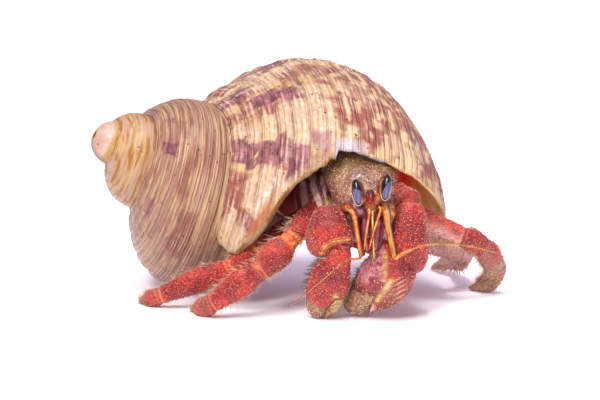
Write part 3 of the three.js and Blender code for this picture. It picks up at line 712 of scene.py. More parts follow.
def shell_skin(s, theta, phi, where, early, first, apex):
    """The outer side: its colour, the height of its relief, and the noises that both share."""
    bent = phi + (s.noise(where, 300.0, 2.0) - 0.5) * 1.2
    number, crest = cord_shades(s, bent, 2, 0.5)
    thread, thread_crest = cord_shades(s, bent, 6)
    # Dashes run along each cord, and change at the groove beside it.
    dash_at = s.combine(theta * (0.09 - early * 0.05), number * 5.37)
    dash = s.noise(dash_at, 1.0, 2.0, 0.55)
    dash_two = s.noise(s.vector("ADD", dash_at, (40.0, 9.0, 3.0)), 2.3, 3.0, 0.6)
    thread_at = s.combine(theta * 0.13, thread * 3.71)
    strand = s.noise(thread_at, 1.0, 3.0, 0.6)
    fine = s.noise(s.combine(theta * 0.5, phi * 0.9), 0.8, 4.0, 0.65)
    blotch = s.noise(where, 170.0, 4.0, 0.6)
    haze = s.noise(s.vector("ADD", where, (0.3, 0.1, 0.2)), 120.0, 3.0, 0.55)
    soft = (fine - 0.5) * 0.4 + (strand - 0.5) * 0.8 + (dash - 0.5) * 0.6

    right_part = s.ramp(phi, 36.0, 28.0) * (1.0 - early)
    wide = dash + (blotch - 0.5) * 0.7 + (strand - 0.5) * 0.5 + right_part * 0.09
    colour = s.mix(s.ramp(wide, 0.4, 0.6), "sand", "russet")
    greyed = s.ramp(haze + soft * 0.4, 0.48, 0.66) * (early * 0.4 + 0.2)
    colour = s.mix(greyed, colour, "dusk")
    colour = s.mix(s.ramp(strand, 0.46, 0.68) * 0.7, colour, "light sand")
    streak = s.ramp(dash_two + soft * 0.6, 0.5, 0.72)
    colour = s.mix(streak * 0.78, colour, "brick")
    # The early whorls carry long soft streaks instead, and the first of them are golden.
    long_at = s.combine(theta * 0.03, bent * 0.3)
    old = s.mix(s.ramp(s.noise(long_at, 1.0, 4.0, 0.6), 0.38, 0.62), "straw", "clay")
    other = s.noise(s.vector("ADD", long_at, (3.0, 17.0, 0.0)), 0.5, 3.0)
    old = s.mix(s.ramp(other, 0.5, 0.62, 0.0, 0.7), old, "faded plum")
    colour = s.mix(early * 0.8, colour, old)
    gold_at = s.combine(theta * 0.028, bent * 0.13)
    golden, _ = mottle(s, gold_at, 1.0, 3.0, 0.55, 0.4, 0.6, "honey", "pale straw")
    other = s.noise(s.vector("ADD", gold_at, (3.0, 17.0, 0.0)), 0.8, 2.0)
    golden = s.mix(s.ramp(other, 0.48, 0.6), golden, "oat")
    colour = s.mix(first * 0.94, colour, golden)
    # The patches, with edges that follow the threads.
    brown = s.ramp(s.mark("brown") + soft, 0.25, 0.7)
    colour = s.mix(brown * 0.7, colour, "chestnut")
    cream = s.ramp(s.mark("cream") + soft * 1.3, 0.22, 0.68) * (0.85 - right_part * 0.35)
    colour = s.mix(cream, colour, s.mix(s.ramp(fine, 0.4, 0.6), "buff", "cream"))
    purple = s.ramp(s.mark("purple") + soft * 1.3, 0.24, 0.7)
    purple_tone = s.mix(s.ramp(strand + soft * 0.3, 0.35, 0.7), "plum", "mauve")
    colour = s.mix(purple * 0.88, colour, purple_tone)
    # Pale ridges and dark lines between them.
    short_at = s.combine(theta * 0.15, thread * 7.7)
    short = s.ramp(s.noise(short_at, 1.0, 2.0), 0.5, 0.6) * right_part
    colour = s.mix(short * 0.75, colour, "dash cream")
    lined = s.ramp(first, 0.0, 1.0, 1.0, 0.25)
    ridge = s.ramp(thread_crest, 0.7, 1.0, 0.0, 0.6) * s.ramp(dash + soft, 0.4, 0.8)
    colour = s.mix(ridge * lined, colour, "ridge cream")
    shade = s.ramp(s.noise(s.vector("ADD", thread_at, (7.0, 31.0, 5.0)), 1.2, 2.0), 0.4, 0.65)
    left_part = s.ramp(phi, 20.0, 40.0, 0.2, 1.0) * lined * (1.0 - early * 0.4)
    dark_line = s.ramp(thread_crest, 0.35, 0.0) * (shade * 0.6)
    colour = s.mix(dark_line * left_part, colour, "thread brown")
    groove = s.ramp(crest, 0.4, 0.03) * (shade * 0.4 + 0.25)
    colour = s.mix(groove * left_part, colour, "groove brown")
    colour = s.mix(s.mark("lamella") * s.ramp(fine, 0.4, 0.55), colour, "chalk")
    # Painted shade: the suture, where the last turn overlaps the one before, is darkened as the
    # shadow of its step.
    seam = s.ramp(phi, 82.0, 92.0) * s.ramp(apex, 0.6, 0.0, 0.0, 0.85)
    colour = s.mix(seam, colour, "suture shade")
    veil = s.mix(early, "late veil", s.mix(first, "early veil", "first veil"))
    colour = s.mix(1.0, colour, veil, "MULTIPLY")
    # The worn tip, with painted shade for the hole in the dimple at its top, and rare pits.
    tip = s.mix(s.ramp(blotch, 0.4, 0.6), "worn bone", "pale bone")
    tip = s.mix(s.ramp(phi, -4.0, -16.0), tip, "ochre")
    tip = s.mix(s.ramp(phi, 36.0, 43.0, 0.0, 0.75), tip, "ochre")
    tip = s.mix(s.ramp(phi, 48.0, 51.0), tip, "tip hole shade")
    colour = s.mix(apex, colour, tip)
    holes, _ = s.cells(where, 900.0)
    pits = s.ramp(holes, 0.17, 0.1) * s.ramp(s.noise(where, 500.0, 1.0), 0.5, 0.6)
    colour = s.mix(pits, colour, "pit")

    ripple_at = s.combine(theta * 2.3, phi * 0.16)
    height = s.noise(ripple_at, 1.0, 3.0, 0.6, distortion=0.6) * 0.45 + fine * 0.35 \
        + s.ramp(thread_crest, 0.0, 0.8) * 0.45 + s.ramp(crest, 0.0, 0.5) * 0.9 - pits * 1.2
    return colour, height, soft, fine, blotch


def shell_material():
    material, s, shader = new_material("turban_shell")
    theta, phi, lip, inside = (s.mark(key) for key in ("theta", "phi", "lip", "inside"))
    where, apex = s.place(), s.mark("apex")
    early, first = s.ramp(theta, -130.0, -250.0), s.ramp(theta, -470.0, -530.0)
    colour, height, soft, fine, blotch = shell_skin(s, theta, phi, where, early, first, apex)
    clouded = s.ramp(blotch, 0.4, 0.6)

    # The lip: ochre at the tongue, with an orange spot, and bare nacre at the chipped step.
    lip_tone = s.mix(clouded, "lip ochre", "lip cream")
    lip_tone = s.mix(s.ramp(phi, 34.0, 38.0), "lip straw", lip_tone)
    edge = s.ramp(lip + soft * 0.6, 0.88, 1.08) * s.ramp(phi, 34.0, 40.0, 0.6, 0.4)
    colour = s.mix(edge, colour, lip_tone)
    spot = s.ramp(s.math("ABSOLUTE", phi - 62.0), 6.0, 2.0) * s.ramp(lip, 0.3, 0.9)
    colour = s.mix(spot * 0.8, colour, "lip orange")
    nacre = s.mix(clouded, "nacre", "dull nacre")
    bare = s.ramp(phi, 34.2, 33.0) * s.ramp(phi + blotch * 14.0, 25.0, 32.0)
    colour = s.mix(s.ramp(lip, 0.86, 0.93) * bare, colour, nacre)

    # The inner wall: from crimson in its depth to the colours of daylight at its outer side.
    across = s.split(where)[0]
    deep = s.mix(s.ramp(across, 0.0176, 0.0196), "lit red", "lit orange")
    deep = s.mix(s.ramp(across, 0.0194, 0.0225), deep, "lit cream")
    deep = s.mix(s.ramp(phi, 12.0, 40.0), deep, "inner crimson")
    glow = s.ramp(lip, 0.05, 0.6) * s.ramp(across, 0.0185, 0.021, 0.0, 0.7)
    deep = s.mix(glow, deep, "lip glow")
    low = s.mix(s.ramp(phi, 34.0, 26.0), s.mix(clouded, "mouth brown", "mouth buff"),
                "mouth cream")
    hollow = s.mix(s.ramp(lip, 0.8, 0.95), deep, low)
    rim = s.ramp(lip, 0.55, 0.9) * s.ramp(phi, 35.0, 33.0) \
        * s.ramp(phi + blotch * 30.0, 22.0, 34.0)
    hollow = s.mix(rim, hollow, nacre)
    colour = s.mix(s.ramp(inside, 0.08, 0.3), colour, hollow)
    # Painted light: towards its outer side the inner wall glows faintly in its own colours,
    # standing in for daylight that comes through the thin shell.
    through = s.ramp(inside, 0.3, 0.6) * s.ramp(across, 0.013, 0.0195)
    s.feed(shader.inputs["Emission Color"], s.mix(through, "black", deep))

    strength = s.ramp(first, 0.0, 1.0, 1.0, 0.3) - apex * 0.22
    finish_shader(s, shader, colour, s.ramp(fine, 0.2, 0.8, 0.4, 0.6),
                  s.bump(height, strength, 0.0003), Coat_Weight=0.25, Coat_Roughness=0.25,
                  Emission_Strength=0.15)
    return material


# Head and body ---------------------------------------------------------------------------------

BROW = vec(10.75, -24.3, 20)
HEAD_FORWARD = unit(vec(0.14, -0.855, -0.5))
HEAD_UP = unit(np.cross(HEAD_FORWARD, vec(0.984, 0.15, 0.1)))
HEAD_LEFT = np.cross(HEAD_UP, HEAD_FORWARD)
SHIELD_LENGTH, SHIELD_HALF, SHIELD_DOME, SHIELD_TAPER = 12.5, 6.1, 3.4, 0.28
SHIELD_COLUMNS, UNDER_COLUMNS = 110, 9
QUARTER = 1.57                          # just short of a quarter turn, in radians
EYE_HALF = vec(0.8, 1.0, 2.14)


def on_head(left, forward, up):
    return BROW + places3(left, forward, up) @ np.array([HEAD_LEFT, HEAD_FORWARD, HEAD_UP])


def shield_piece(material):
    """The hard shield: a granular dome with a grooved front, a beaded rim and a flat underside."""
    t = np.linspace(0, 1, 90)[:, None]
    a = angles(-90, 90, SHIELD_COLUMNS)[None, :]
    back = SHIELD_LENGTH * (1 - t)
    half = SHIELD_HALF * (1 - SHIELD_TAPER * t * t)
    left = np.sin(a) * half
    beak = 0.55 * bump(left, 0, 0.9) - 0.5 * bump(np.abs(left), 2.3, 1.4)
    forward = -back + beak * smooth(t, 0.8, 1)
    up = 0.9 * np.sin(math.pi * np.minimum(1, 0.25 + 0.75 * t)) - 0.3 \
        + SHIELD_DOME * (np.cos(a) - 1)
    spot = on_head(left, forward, up)
    groove = 0.16 * bump(back + 0.18 * left ** 2, 7.6, 0.35) \
        + 0.1 * bump(left, 0, 0.22) * smooth(back, 1, 4)
    bead = 0.12 * bump(t, 0.975, 0.03) * (1 - smooth(np.abs(left), 4.2, 5))
    grain = 0.07 * noise(spot, 0.34, 11) + 0.12 * noise(spot, 2.2, 12, 2)
    from_side = QUARTER - np.abs(a)
    up = up - groove + bead + grain * smooth(from_side, 0, 0.2)
    under_left = half * np.linspace(0.97, -0.97, UNDER_COLUMNS)[None, :]
    under_up = np.minimum(up[:, :1], up[:, -1:]) - 0.45
    rings = np.concatenate([on_head(left, forward, up),
                            on_head(under_left, forward[:, -1:], under_up)], axis=1)

    def on_dome(mark):
        """The mark on the dome, and none of it on the underside."""
        return np.pad(np.broadcast_to(mark, up.shape), ((0, 0), (0, UNDER_COLUMNS)))

    return lofted("head_shield", rings, material, tan=1, pale=0.25, band=bump(back, 7.4, 2.6),
                  side=on_dome(smooth(np.abs(a), 1.05, 1.5)),
                  grain=on_dome(smooth(from_side, 0.05, 0.2) * smooth(t, 0.02, 0.1)))


def shield_material():
    material, s, shader = new_material("granular_shield")
    where = s.place()
    tan, clouds = mottle(s, where, 420.0, 3.0, 0.6, 0.38, 0.62, "shield brown", "shield tan")
    _, cell_tone = s.cells(where, 3300.0)
    speck = s.ramp(s.split(cell_tone)[0], 0.5, 0.7)
    grains = s.effect(GRAIN, place=where, scale=3300.0, crown="grain cream", wide=0.34, share=0.7,
                      foot=0.45, colour=s.mix(speck * 0.65, tan, "wine"))
    colour = s.mix(s.mark("side") * 0.6, grains["colour"], "flank red")
    band = s.mark("band") * s.ramp(clouds, 0.35, 0.6, 0.5, 1.0)
    colour = s.mix(band * 0.8, colour, "olive band")
    finish_shader(s, shader, colour, s.ramp(clouds, 0.3, 0.7, 0.34, 0.5),
                  s.bump(grains["height"] + clouds * 0.6, 0.9, 0.0002), Coat_Weight=0.5,
                  Coat_Roughness=0.18)
    return material


def body_piece(material):
    """One skin over the thorax, the face and the belly, with the soft folds of its side."""
    obj = node_copy("soft_body", "body", 0.3, 12)
    points, ways = mesh_points(obj)
    left, forward = (points - BROW) @ HEAD_LEFT, (points - BROW) @ HEAD_FORWARD
    outer = smooth(np.abs(left), 3.5, 5) * smooth(forward, -17, -12)
    across, level = front_view(points)
    folds = np.sin(across * 3.4 + 0.6 * level + 1.5 * noise(points, 2.5, 21, 2))
    wrinkle = noise(points * vec(1, 2.2, 0.8), 0.8, 22, 2)
    hollow = smooth(across, 0.4, -1.2)
    depth = (0.26 * (np.abs(folds) ** 0.7 - 0.6) + 0.08 * wrinkle) * outer * (1 - hollow)
    points = points + ways * depth[:, None]
    move_points(obj, points)
    add_marks(obj, {"fold": folds, "side": outer, "face": smooth(forward, -2.5, -0.5),
                    "wall": outer * smooth(across, 3.8, 4.4) * (across < 9),
                    "golden": smooth(across, 5.2, 4.6) * smooth(level, 20.5, 18.8),
                    "left": smooth(left, 0, 1), "hollow": hollow})
    obj.data.materials.append(material)
    return obj


def flesh_material():
    material, s, shader = new_material("soft_flesh")
    where = s.place()
    colour, clouds = mottle(s, where, 350.0, 4.0, 0.6, 0.35, 0.65, "rose", "pale rose")
    lines = s.noise(s.vector("MULTIPLY", where, (2600.0, 900.0, 500.0)), 1.0, 2.0, 0.5)
    colour = s.mix(s.ramp(lines, 0.5, 0.62) * 0.35, colour, "dust")
    colour = s.mix(s.ramp(s.mark("fold"), 0.1, -0.7, 0.0, 0.9), colour, "fold wine")
    wall = s.mix(s.ramp(clouds, 0.4, 0.6), "night", "umber")
    wall = s.mix(s.mark("golden") * s.ramp(clouds, 0.35, 0.55), wall, "gold")
    colour = s.mix(s.mark("wall"), colour, wall)
    colour = s.mix(s.mark("hollow"), colour, "hollow red")
    colour = s.mix(s.mark("face") * 0.8, colour, "face red")
    colour = s.mix(s.mark("left") * s.mark("side") * 0.85, colour, "rust")
    lilac, _ = mottle(s, where, 900.0, 3.0, 0.6, 0.4, 0.6, "dark lilac", "lilac")
    colour = s.mix(s.mark("cheek"), colour, lilac)
    finish_shader(s, shader, colour, s.ramp(clouds, 0.3, 0.7, 0.3, 0.5),
                  s.bump(s.noise(where, 1800.0, 4.0, 0.6), 0.5, 0.0002),
                  Subsurface_Weight=0.08, Subsurface_Scale=0.0008, Coat_Weight=0.15)
    return material


def eye_frame(side):
    """Where an eye stands: its centre, and its ways across, deep and up."""
    top, foot = on_head(2.35 * side, 1, 3.4), on_head(2 * side, 4.2, 1.3)
    raised = 0.4 if side > 0 else 0.05
    top = top + vec(0.33 if side > 0 else 0.02, 0, raised)
    foot = foot + vec(-0.25 if side > 0 else -0.35, 0, raised)
    upward = unit(top - foot)
    across = unit(HEAD_LEFT - upward * HEAD_LEFT.dot(upward))
    return (top + foot) / 2, across, np.cross(upward, across), upward


def eye_piece(name, side, material):
    """A tall smooth cornea."""
    centre, *ways = eye_frame(side)
    _, _, ball = globe(2, 178, 56, 48)
    return lofted(name, centre + ball * EYE_HALF @ np.array(ways), material, tall=ball[..., 2],
                  wide=ball[..., 0] * side, tilt=0.75 if side > 0 else 0.15)


def eye_material():
    material, s, shader = new_material("dark_cornea")
    tall, wide = s.mark("tall"), s.mark("wide")
    violet, _ = mottle(s, s.combine(wide * 9.0, 0.0, tall * 0.8), 1.0, 2.0, 0.5, 0.38, 0.62,
                       "dark violet", "violet")
    violet = s.mix(s.ramp(tall, 0.1, 0.7), violet, "eye shade")
    # Painted reflection: the black patch over the top of each cornea stands for the dark reflection
    # in it, and each eye's tilt mark slants its lower edge.
    slope = tall - wide * s.mark("tilt")
    dark_reflection = s.ramp(slope, 0.0, 0.16) * s.ramp(wide, 0.85, 0.6)
    colour = s.mix(dark_reflection, violet, "dark_reflection")
    colour = s.mix(s.ramp(wide * wide + tall * tall, 0.74, 0.9), colour, "eye edge")
    finish_shader(s, shader, colour, 0.3, None, Specular_IOR_Level=0.1, Coat_Weight=1.0,
                  Coat_Roughness=0.02)
    return material


def stalk_piece(name, side, material):
    """An eyestalk: the sheath behind the cornea, its thin pale rim, and the stem to the brow."""
    centre, across, deep, upward = eye_frame(side)
    outward = deep if deep.dot(HEAD_FORWARD) > 0 else -deep
    polar, a, ball = globe(3, 177, 40, 36)
    ridge = 1 + 0.06 * np.sin(a * 7 + 2 * np.cos(polar)) * np.sin(polar)
    heart = centre - outward * 0.42 - side * across * 0.55 + upward * 0.05
    size = places3(0.75 * ridge, 0.8 * ridge, 1.95)
    sheath = lofted(name + "_sheath", heart + ball * size @ np.array([across, deep, upward]),
                    material, rim=0,
                    dark=0.42 + 0.5 * smooth(np.abs(np.sin(a * 4.5 + np.cos(polar))), 0.5, 0.9))
    places = [centre + across * math.sin(w) * 0.82 - upward * math.cos(w) * 2.18 + outward * 0.1
              for w in angles(-88, 88, 30)]
    rim = rod(name + "_rim", places, (0.052, 0.052), material, rows=70, sides=8, rim=1)
    foot = vec(10.9 + 0.5 * side, -26.7, 18.4)
    knee = vec(10.9 + 1.0 * side, -27.3, 19.2)
    stem = rod(name + "_stem", [foot, knee, heart - upward * 0.9 + outward * 0.15], (0.55, 0.62),
               material, dark=0.15)
    return join(name, [sheath, rim, stem])


def orange_material():
    material, s, shader = new_material("orange_shaft")
    colour, clouds = mottle(s, s.place(), 700.0, 3.0, 0.5, 0.38, 0.62, "burnt orange",
                            "stalk orange")
    colour = s.mix(s.mark("dark"), colour, "sheath")
    colour = s.mix(s.mark("rim") * 0.9, colour, "eye rim")
    finish_shader(s, shader, colour, 0.35, s.bump(clouds, 0.3, 0.0001), Coat_Weight=0.3)
    return material


# Limbs -----------------------------------------------------------------------------------------

GAP = 0.3
LEG_FLATNESS = 0.72
RING = 40                               # points round a segment
SLEEVE_ROWS, SLEEVE_RING = 14, 28
SEGMENTS = ("merus", "carpus", "propodus", "dactyl")
CLAW_PARTS = ("merus", "carpus", "palm", "finger")
# Each leg's joints from the body to the tip, the way it faces, and for each segment its half
# width at the start, belly and end, and how far it bows.
LEGS = {
    "right_front": {
        "joints": [(3.6, -14.5, 16.6), (-1.4, -22, 12.3), (-6.4, -24, 7.6), (-13.6, -24.3, 2.6),
                   (-17.4, -19, 0.6)],
        "face": vec(-0.15, -1, 0.25), "bows": (0, 0.2, 0, 0.5),
        "wide": [(1.9, 1.9, 1.5), (1.5, 2.3, 1.7), (1.7, 2.1, 1.5), (1.5, 1.6, 0.4)]},
    "right_rear": {
        "joints": [(4.2, -10.5, 15.6), (-6.8, -16.8, 10), (-11.1, -17.3, 6.8),
                   (-22.3, -16.2, 2.1), (-26, -12.4, 0.6)],
        "face": vec(-0.1, -1, 0.25), "bows": (0, 0.1, 0, 0.4),
        "wide": [(1.8, 1.9, 1.4), (1.4, 1.9, 1.5), (1.5, 1.9, 1.4), (1.3, 1.5, 0.4)]},
    "left_front": {
        "joints": [(12.5, -12, 15.6), (26.2, -12, 10.9), (29.4, -9.8, 8.9), (32.2, -6, 4.3),
                   (28.3, -2, 0.4)],
        "face": vec(0.35, -1, 0.3), "bows": (0.3, 0.2, 0.4, 1),
        "wide": [(1.9, 2.1, 1.6), (1.6, 1.9, 1.8), (1.8, 2.1, 1.8), (1.8, 1.6, 0.4)]},
    "left_rear": {
        "joints": [(10.5, -10, 13.4), (26.4, -3.5, 6.9), (27.6, 1.5, 5.6), (26.8, 9.5, 2.9),
                   (23.2, 16.3, 0.5)],
        "face": vec(0.6, -1, 0.3), "bows": (0, 0, 0, 0.4),
        "wide": [(2, 2.1, 1.7), (1.7, 2, 1.8), (1.8, 2.1, 1.5), (1.4, 1.4, 0.4)]},
}


def tube(start, end, face, wide, thick, **more):
    """A flattened tube: its ends, the way it faces, and its half width and half depth at the
    start, belly and end. More gives belly, round, bow, square and the normals of its ends."""
    return {"from": vec(*start), "to": vec(*end), "face": vec(*face), "wide": wide,
            "thick": thick, **more}


CLAWS = {
    "right": {
        "merus": tube((7.5, -17, 15.2), (4.4, -24.6, 16.2), (0, -0.2, 1), (2.2, 2.3, 1.9),
                      (1.8, 1.9, 1.5)),
        "carpus": tube((4, -24.6, 18), (4.9, -26.6, 10.3), (-0.1, -1, 0.2), (2.1, 3.6, 3.1),
                       (1.8, 2.7, 2.2), belly=0.66, round=(0.25, 0.2)),
        "hand": tube((6, -28, 12.2), (2.9, -23.6, 0.3), (-0.15, -1, 0.1), (1.7, 3.3, 2.5),
                     (1.5, 2.3, 1.6), belly=0.5, round=(0, 0.18), bow=0.1, square=2.2)},
    "left": {
        "merus": tube((12.5, -14.5, 18.5), (17, -22.3, 18.2), (0.1, -0.3, 1), (2.4, 2.7, 2.1),
                      (2, 2.3, 1.8)),
        "carpus": tube((17.3, -23, 18.2), (16.7, -25.8, 7.5), (0.25, -1, 0.2), (2.3, 3.1, 2.8),
                       (2, 2.8, 2.3), belly=0.6, round=(0.18, 0.22)),
        "hand": tube((15.6, -26.8, 10.2), (7.6, -22.4, 1.1), (0.3, -1, 0.35), (3.6, 4.4, 1.9),
                     (2.4, 3.3, 1.6), belly=0.35, round=(0, 0.14), bow=0.75, square=2.2)},
}
KNUCKLE = tube((6.65, -28.5, 12.6), (5.2, -27.4, 7.6), (-0.1, -1, 0.1), (1.15, 1.9, 2.5),
               (0.8, 1.3, 1.5), round=(0.12, 0), square=2.6)
HINGE = [(3.64, -28.5, 10.95), (3.95, -28.9, 11.8), (4.5, -29.1, 12.4), (5.75, -29.25, 12.95),
         (7.7, -28.9, 13.15)]
HINGE_MIDDLE = vec(6.0, -28.8, 10.8)
BROW_WEDGE = tube((10.85, -26.3, 20.75), (10.9, -28.1, 18.8), (0, -1, 0.5), (0.62, 0.66, 0.3),
                  (0.35, 0.5, 0.3), belly=0.4, square=2.1, round=(0.3, 0.2))
BROW_PLATE = tube((10.9, -27.2, 19.5), (10.85, -27.9, 17.9), (0, -1, 0.3), (0.3, 0.8, 0.9),
                  (0.4, 0.55, 0.5), square=2.0, round=(0.2, 0.3))
# The rows of a hard plate, and how deep the first and last of them are tucked in.
ROWS = np.concatenate([[0, 0, 0.006, 0.02], np.linspace(0.05, 0.95, 44), [0.98, 0.994, 1, 1]])
SINK = np.concatenate([[-0.75, -0.3, -0.1, 0], np.zeros(44), [0, -0.1, -0.3, -0.75]])


def leg_forms(name):
    """The four segments of a leg; they meet in the planes that halve the bends between them."""
    leg = LEGS[name]
    joints = np.array(leg["joints"], float)
    ways = [unit(joints[i + 1] - joints[i]) for i in range(4)]
    forms = []
    for i, wide in enumerate(leg["wide"]):
        before = unit(ways[i - 1] + ways[i]) if i else ways[i]
        after = unit(ways[i] + ways[i + 1]) if i < 3 else ways[i]
        forms.append(tube(
            joints[i] + before * GAP / 2, joints[i + 1] - after * (GAP / 2 if i < 3 else 0),
            leg["face"], wide, tuple(w * LEG_FLATNESS for w in wide), bow=leg["bows"][i],
            from_normal=before, to_normal=after))
    return forms


def smooth_blend(start, middle, end, t, belly):
    ease_low = 0.5 - 0.5 * np.cos(np.pi * np.clip(t / belly, 0, 1))
    ease_high = 0.5 - 0.5 * np.cos(np.pi * np.clip((t - belly) / (1 - belly), 0, 1))
    return np.where(t < belly, lerp(start, middle, ease_low), lerp(middle, end, ease_high))


def skin_point(form, t, a, out=0.0):
    """Places on a flattened tube at t along it and angle a round it, out mm above its skin."""
    near, far, face = form["from"], form["to"], form["face"]
    t, a = np.broadcast_arrays(t, a)
    along = unit(far - near)
    side = unit(np.cross(face, along))
    control = (near + far) / 2 + side * form.get("bow", 0) * 2
    k = t[..., None]
    centre = lerp(lerp(near, control, k), lerp(control, far, k), k)
    start, end = form.get("from_normal", along), form.get("to_normal", along)
    normal = unit(np.where(k < 0.5, lerp(start, along, np.minimum(1, k * 3)),
                           lerp(along, end, np.maximum(0, k * 3 - 2))))
    across = unit(np.cross(face, normal))
    through = unit(np.cross(normal, across))
    begin, finish = form.get("round", (0, 0))
    domed = 1.0
    for part, length in ((t, begin), (1 - t, finish)):
        if length:
            kept = 1 - (1 - np.clip(part / length, 0, 1)) ** 2
            domed = domed * lerp(0.4, 1, kept ** 0.5)
    belly, power = form.get("belly", 0.45), 2 / form.get("square", 2.4)
    girth = [smooth_blend(*form[key], t, belly) * domed + out for key in ("wide", "thick")]
    x = np.sign(np.cos(a)) * np.abs(np.cos(a)) ** power * girth[0]
    y = np.sign(np.sin(a)) * np.abs(np.sin(a)) ** power * girth[1]
    return centre + x[..., None] * across + y[..., None] * through


def plate(name, form, material, look):
    """A limb segment as a hard plate: tucked ends, a collar at its far end, and a worn relief."""
    t, a = ROWS[:, None], angles(0, 360, RING, ring=True)[None, :]
    spot = skin_point(form, t, a)
    collar = 0.10 * bump(t, 0.95, 0.05) + 0.06 * bump(t, 0.04, 0.05)
    relief = 0.10 * noise(spot, 1.6, 31, 2) + 0.05 * noise(spot, 0.55, 32)
    ridges = 0.08 * np.cos(a * 4 + 0.6) * bump(t, 0.5, 0.5)
    smallest = min(*form["wide"], *form["thick"])
    out = SINK[:, None] * min(1, smallest / 0.8) + collar + relief + ridges
    rings = skin_point(form, t, a, out)
    rings[..., 2] = np.maximum(rings[..., 2], 0.02)
    orange, reach, tan_from = look.get("orange", (0, 0)), look.get("reach", 0.1), look.get("tan", 2)
    under = smooth(-np.cos(a) + 0.25 * noise(spot, 1.2, 36, 2), -0.2, 0.6)
    return lofted(
        name, rings, material, inner=0, dark=look.get("dark", 0),
        orange=orange[0] * (1 - smooth(t, 0.0, reach)) + orange[1] * smooth(t, 1 - reach, 1.0),
        rim=bump(t, 0.975, 0.025) * look.get("rim", 1) + 0.6 * bump(t, 0.025, 0.025),
        tan=smooth(t, tan_from, tan_from + 0.4), tip=look.get("tip", 0) * smooth(t, 0.93, 0.99),
        pale=look.get("pale", 0) + look.get("under", 0) * under,
        grain=smooth(t, 0.03, 0.08) * (1 - smooth(t, 0.9, 0.95)))


def membrane(name, first, second, material, fill=0.86, orange=0.8, dark=0.0, pale=0.0):
    """The soft sleeve of a joint, from inside one segment's end into the next one's start."""
    a = angles(0, 360, SLEEVE_RING, ring=True)
    start, end = skin_point(first, 0.93, a), skin_point(second, 0.07, a)
    rings = []
    for k in np.linspace(0, 1, SLEEVE_ROWS):
        ring = lerp(start, end, k)
        middle = ring.mean(axis=0)
        share = fill + 0.1 * math.sin(k * math.pi) + 0.025 * math.sin(k * 40)
        rings.append(middle + (ring - middle) * share)
    return lofted(name, rings, material, orange=orange, dark=dark, pale=pale)


def leg_piece(name, material, looks):
    forms = leg_forms(name)
    orange = 0.8 if name.startswith("right") else 0.35
    pieces = [plate(f"{name}_{part}", form, material, look)
              for part, form, look in zip(SEGMENTS, forms, looks)]
    pieces += [membrane(f"{name}_joint_{i}", forms[i], forms[i + 1], material, orange=orange,
                        pale=looks[i].get("pale", 0)) for i in range(3)]
    return join(f"leg_{name}", pieces)


def near_line(across, level, start, end, half):
    """1 on the line from start to end as seen from the front, and 0 from half away."""
    start, end = np.array(start), np.array(end)
    spot = np.stack([across, level], axis=-1) - start
    run = end - start
    t = np.clip(spot @ run / run.dot(run), 0, 1)
    return 1 - smooth(np.linalg.norm(spot - t[:, None] * run, axis=-1), 0, half)


def left_palm_look(across, level, ways):
    """The inner face is smooth and mauve, the outer side beaded and red, brown to the tip."""
    inner = smooth(across, 13.2, 12.4) * smooth(level, 5.0, 7.4)
    stripe = near_line(across, level, (13.2, 11.2), (13.1, 6.8), 0.7)
    wedge = near_line(across, level, (14.1, 6.7), (12.1, 3.7), 0.8)
    low = smooth(level, 7.6, 5.4) * (1 - 0.8 * inner)
    bars = smooth(np.sin((level - 0.55 * across) * 8.5), 0.1, 0.7) * bump(across, 15.6, 1.5) \
        * smooth(level, 2.8, 3.8) * smooth(level, 7.6, 6.8) * smooth(ways[:, 1], 0, -0.4)
    point = smooth(np.hypot(across - 10.9, (level - 2.2) * 0.8), 1.2, 0.4)
    return {"inner": inner, "tan": 0.55 * low, "orange": 0.35 * low,
            "yellow": np.maximum(0.5 * stripe, 0.8 * wedge), "pale": np.maximum(0.7 * bars, point),
            "rise": 0.12 * bars,
            "grain": 1 - np.maximum(0.93 * inner, np.maximum(stripe, wedge))}


def left_finger_look(across, level, ways):
    spot = smooth(np.hypot(across - 9.2, level - 4.6), 1.0, 0.3)
    return {"tan": 0.95 - 0.5 * smooth(level, 3.6, 5.6), "inner": 0.8 * smooth(level, 3.2, 5.6),
            "orange": 0.55 * spot, "dark": 0.6 * smooth(across - 0.75 * level, 4.4, 2.4),
            "grain": 0.8}


def right_palm_look(across, level, ways):
    return {"tan": 0.9 * smooth(level + 0.5 * across, 5.2, 3.2),
            "yellow": 0.8 * near_line(across, level, (5.5, 4.2), (5.6, 2.2), 0.9),
            "orange": 0.6 * smooth(level, 8.8, 10.2)}


def right_finger_look(across, level, ways):
    return {"tan": 0.9, "yellow": 0.75 * smooth(across, 4.4, 5.2) * smooth(level, 1.2, 2.0),
            "grain": 0.8}


# Each hand's pieces: the node's last word, the size of its mesh, its softening, and its look.
HANDS = {"right": (("palm", 0.15, 16, right_palm_look), ("finger", 0.12, 10, right_finger_look)),
         "left": (("palm", 0.15, 16, left_palm_look), ("finger", 0.12, 10, left_finger_look))}


def hand_piece(name, size, rounds, look, material):
    """A hand's piece with a worn relief, marked by the places of its points."""
    obj = node_copy(name, f"claw_{name}", size, rounds)
    points, ways = mesh_points(obj)
    relief = 0.12 * noise(points, 1.4, 33, 2) + 0.06 * noise(points, 0.5, 34)
    marks = {"grain": 1, "rise": 0, **look(*front_view(points), ways)}
    relief = relief + marks.pop("rise")
    points = points + ways * (relief * smooth(points[:, 2], 0.1, 0.6))[:, None]
    points[:, 2] = np.maximum(points[:, 2], 0.02)
    move_points(obj, points)
    add_marks(obj, marks)
    obj.data.materials.append(material)
    return obj


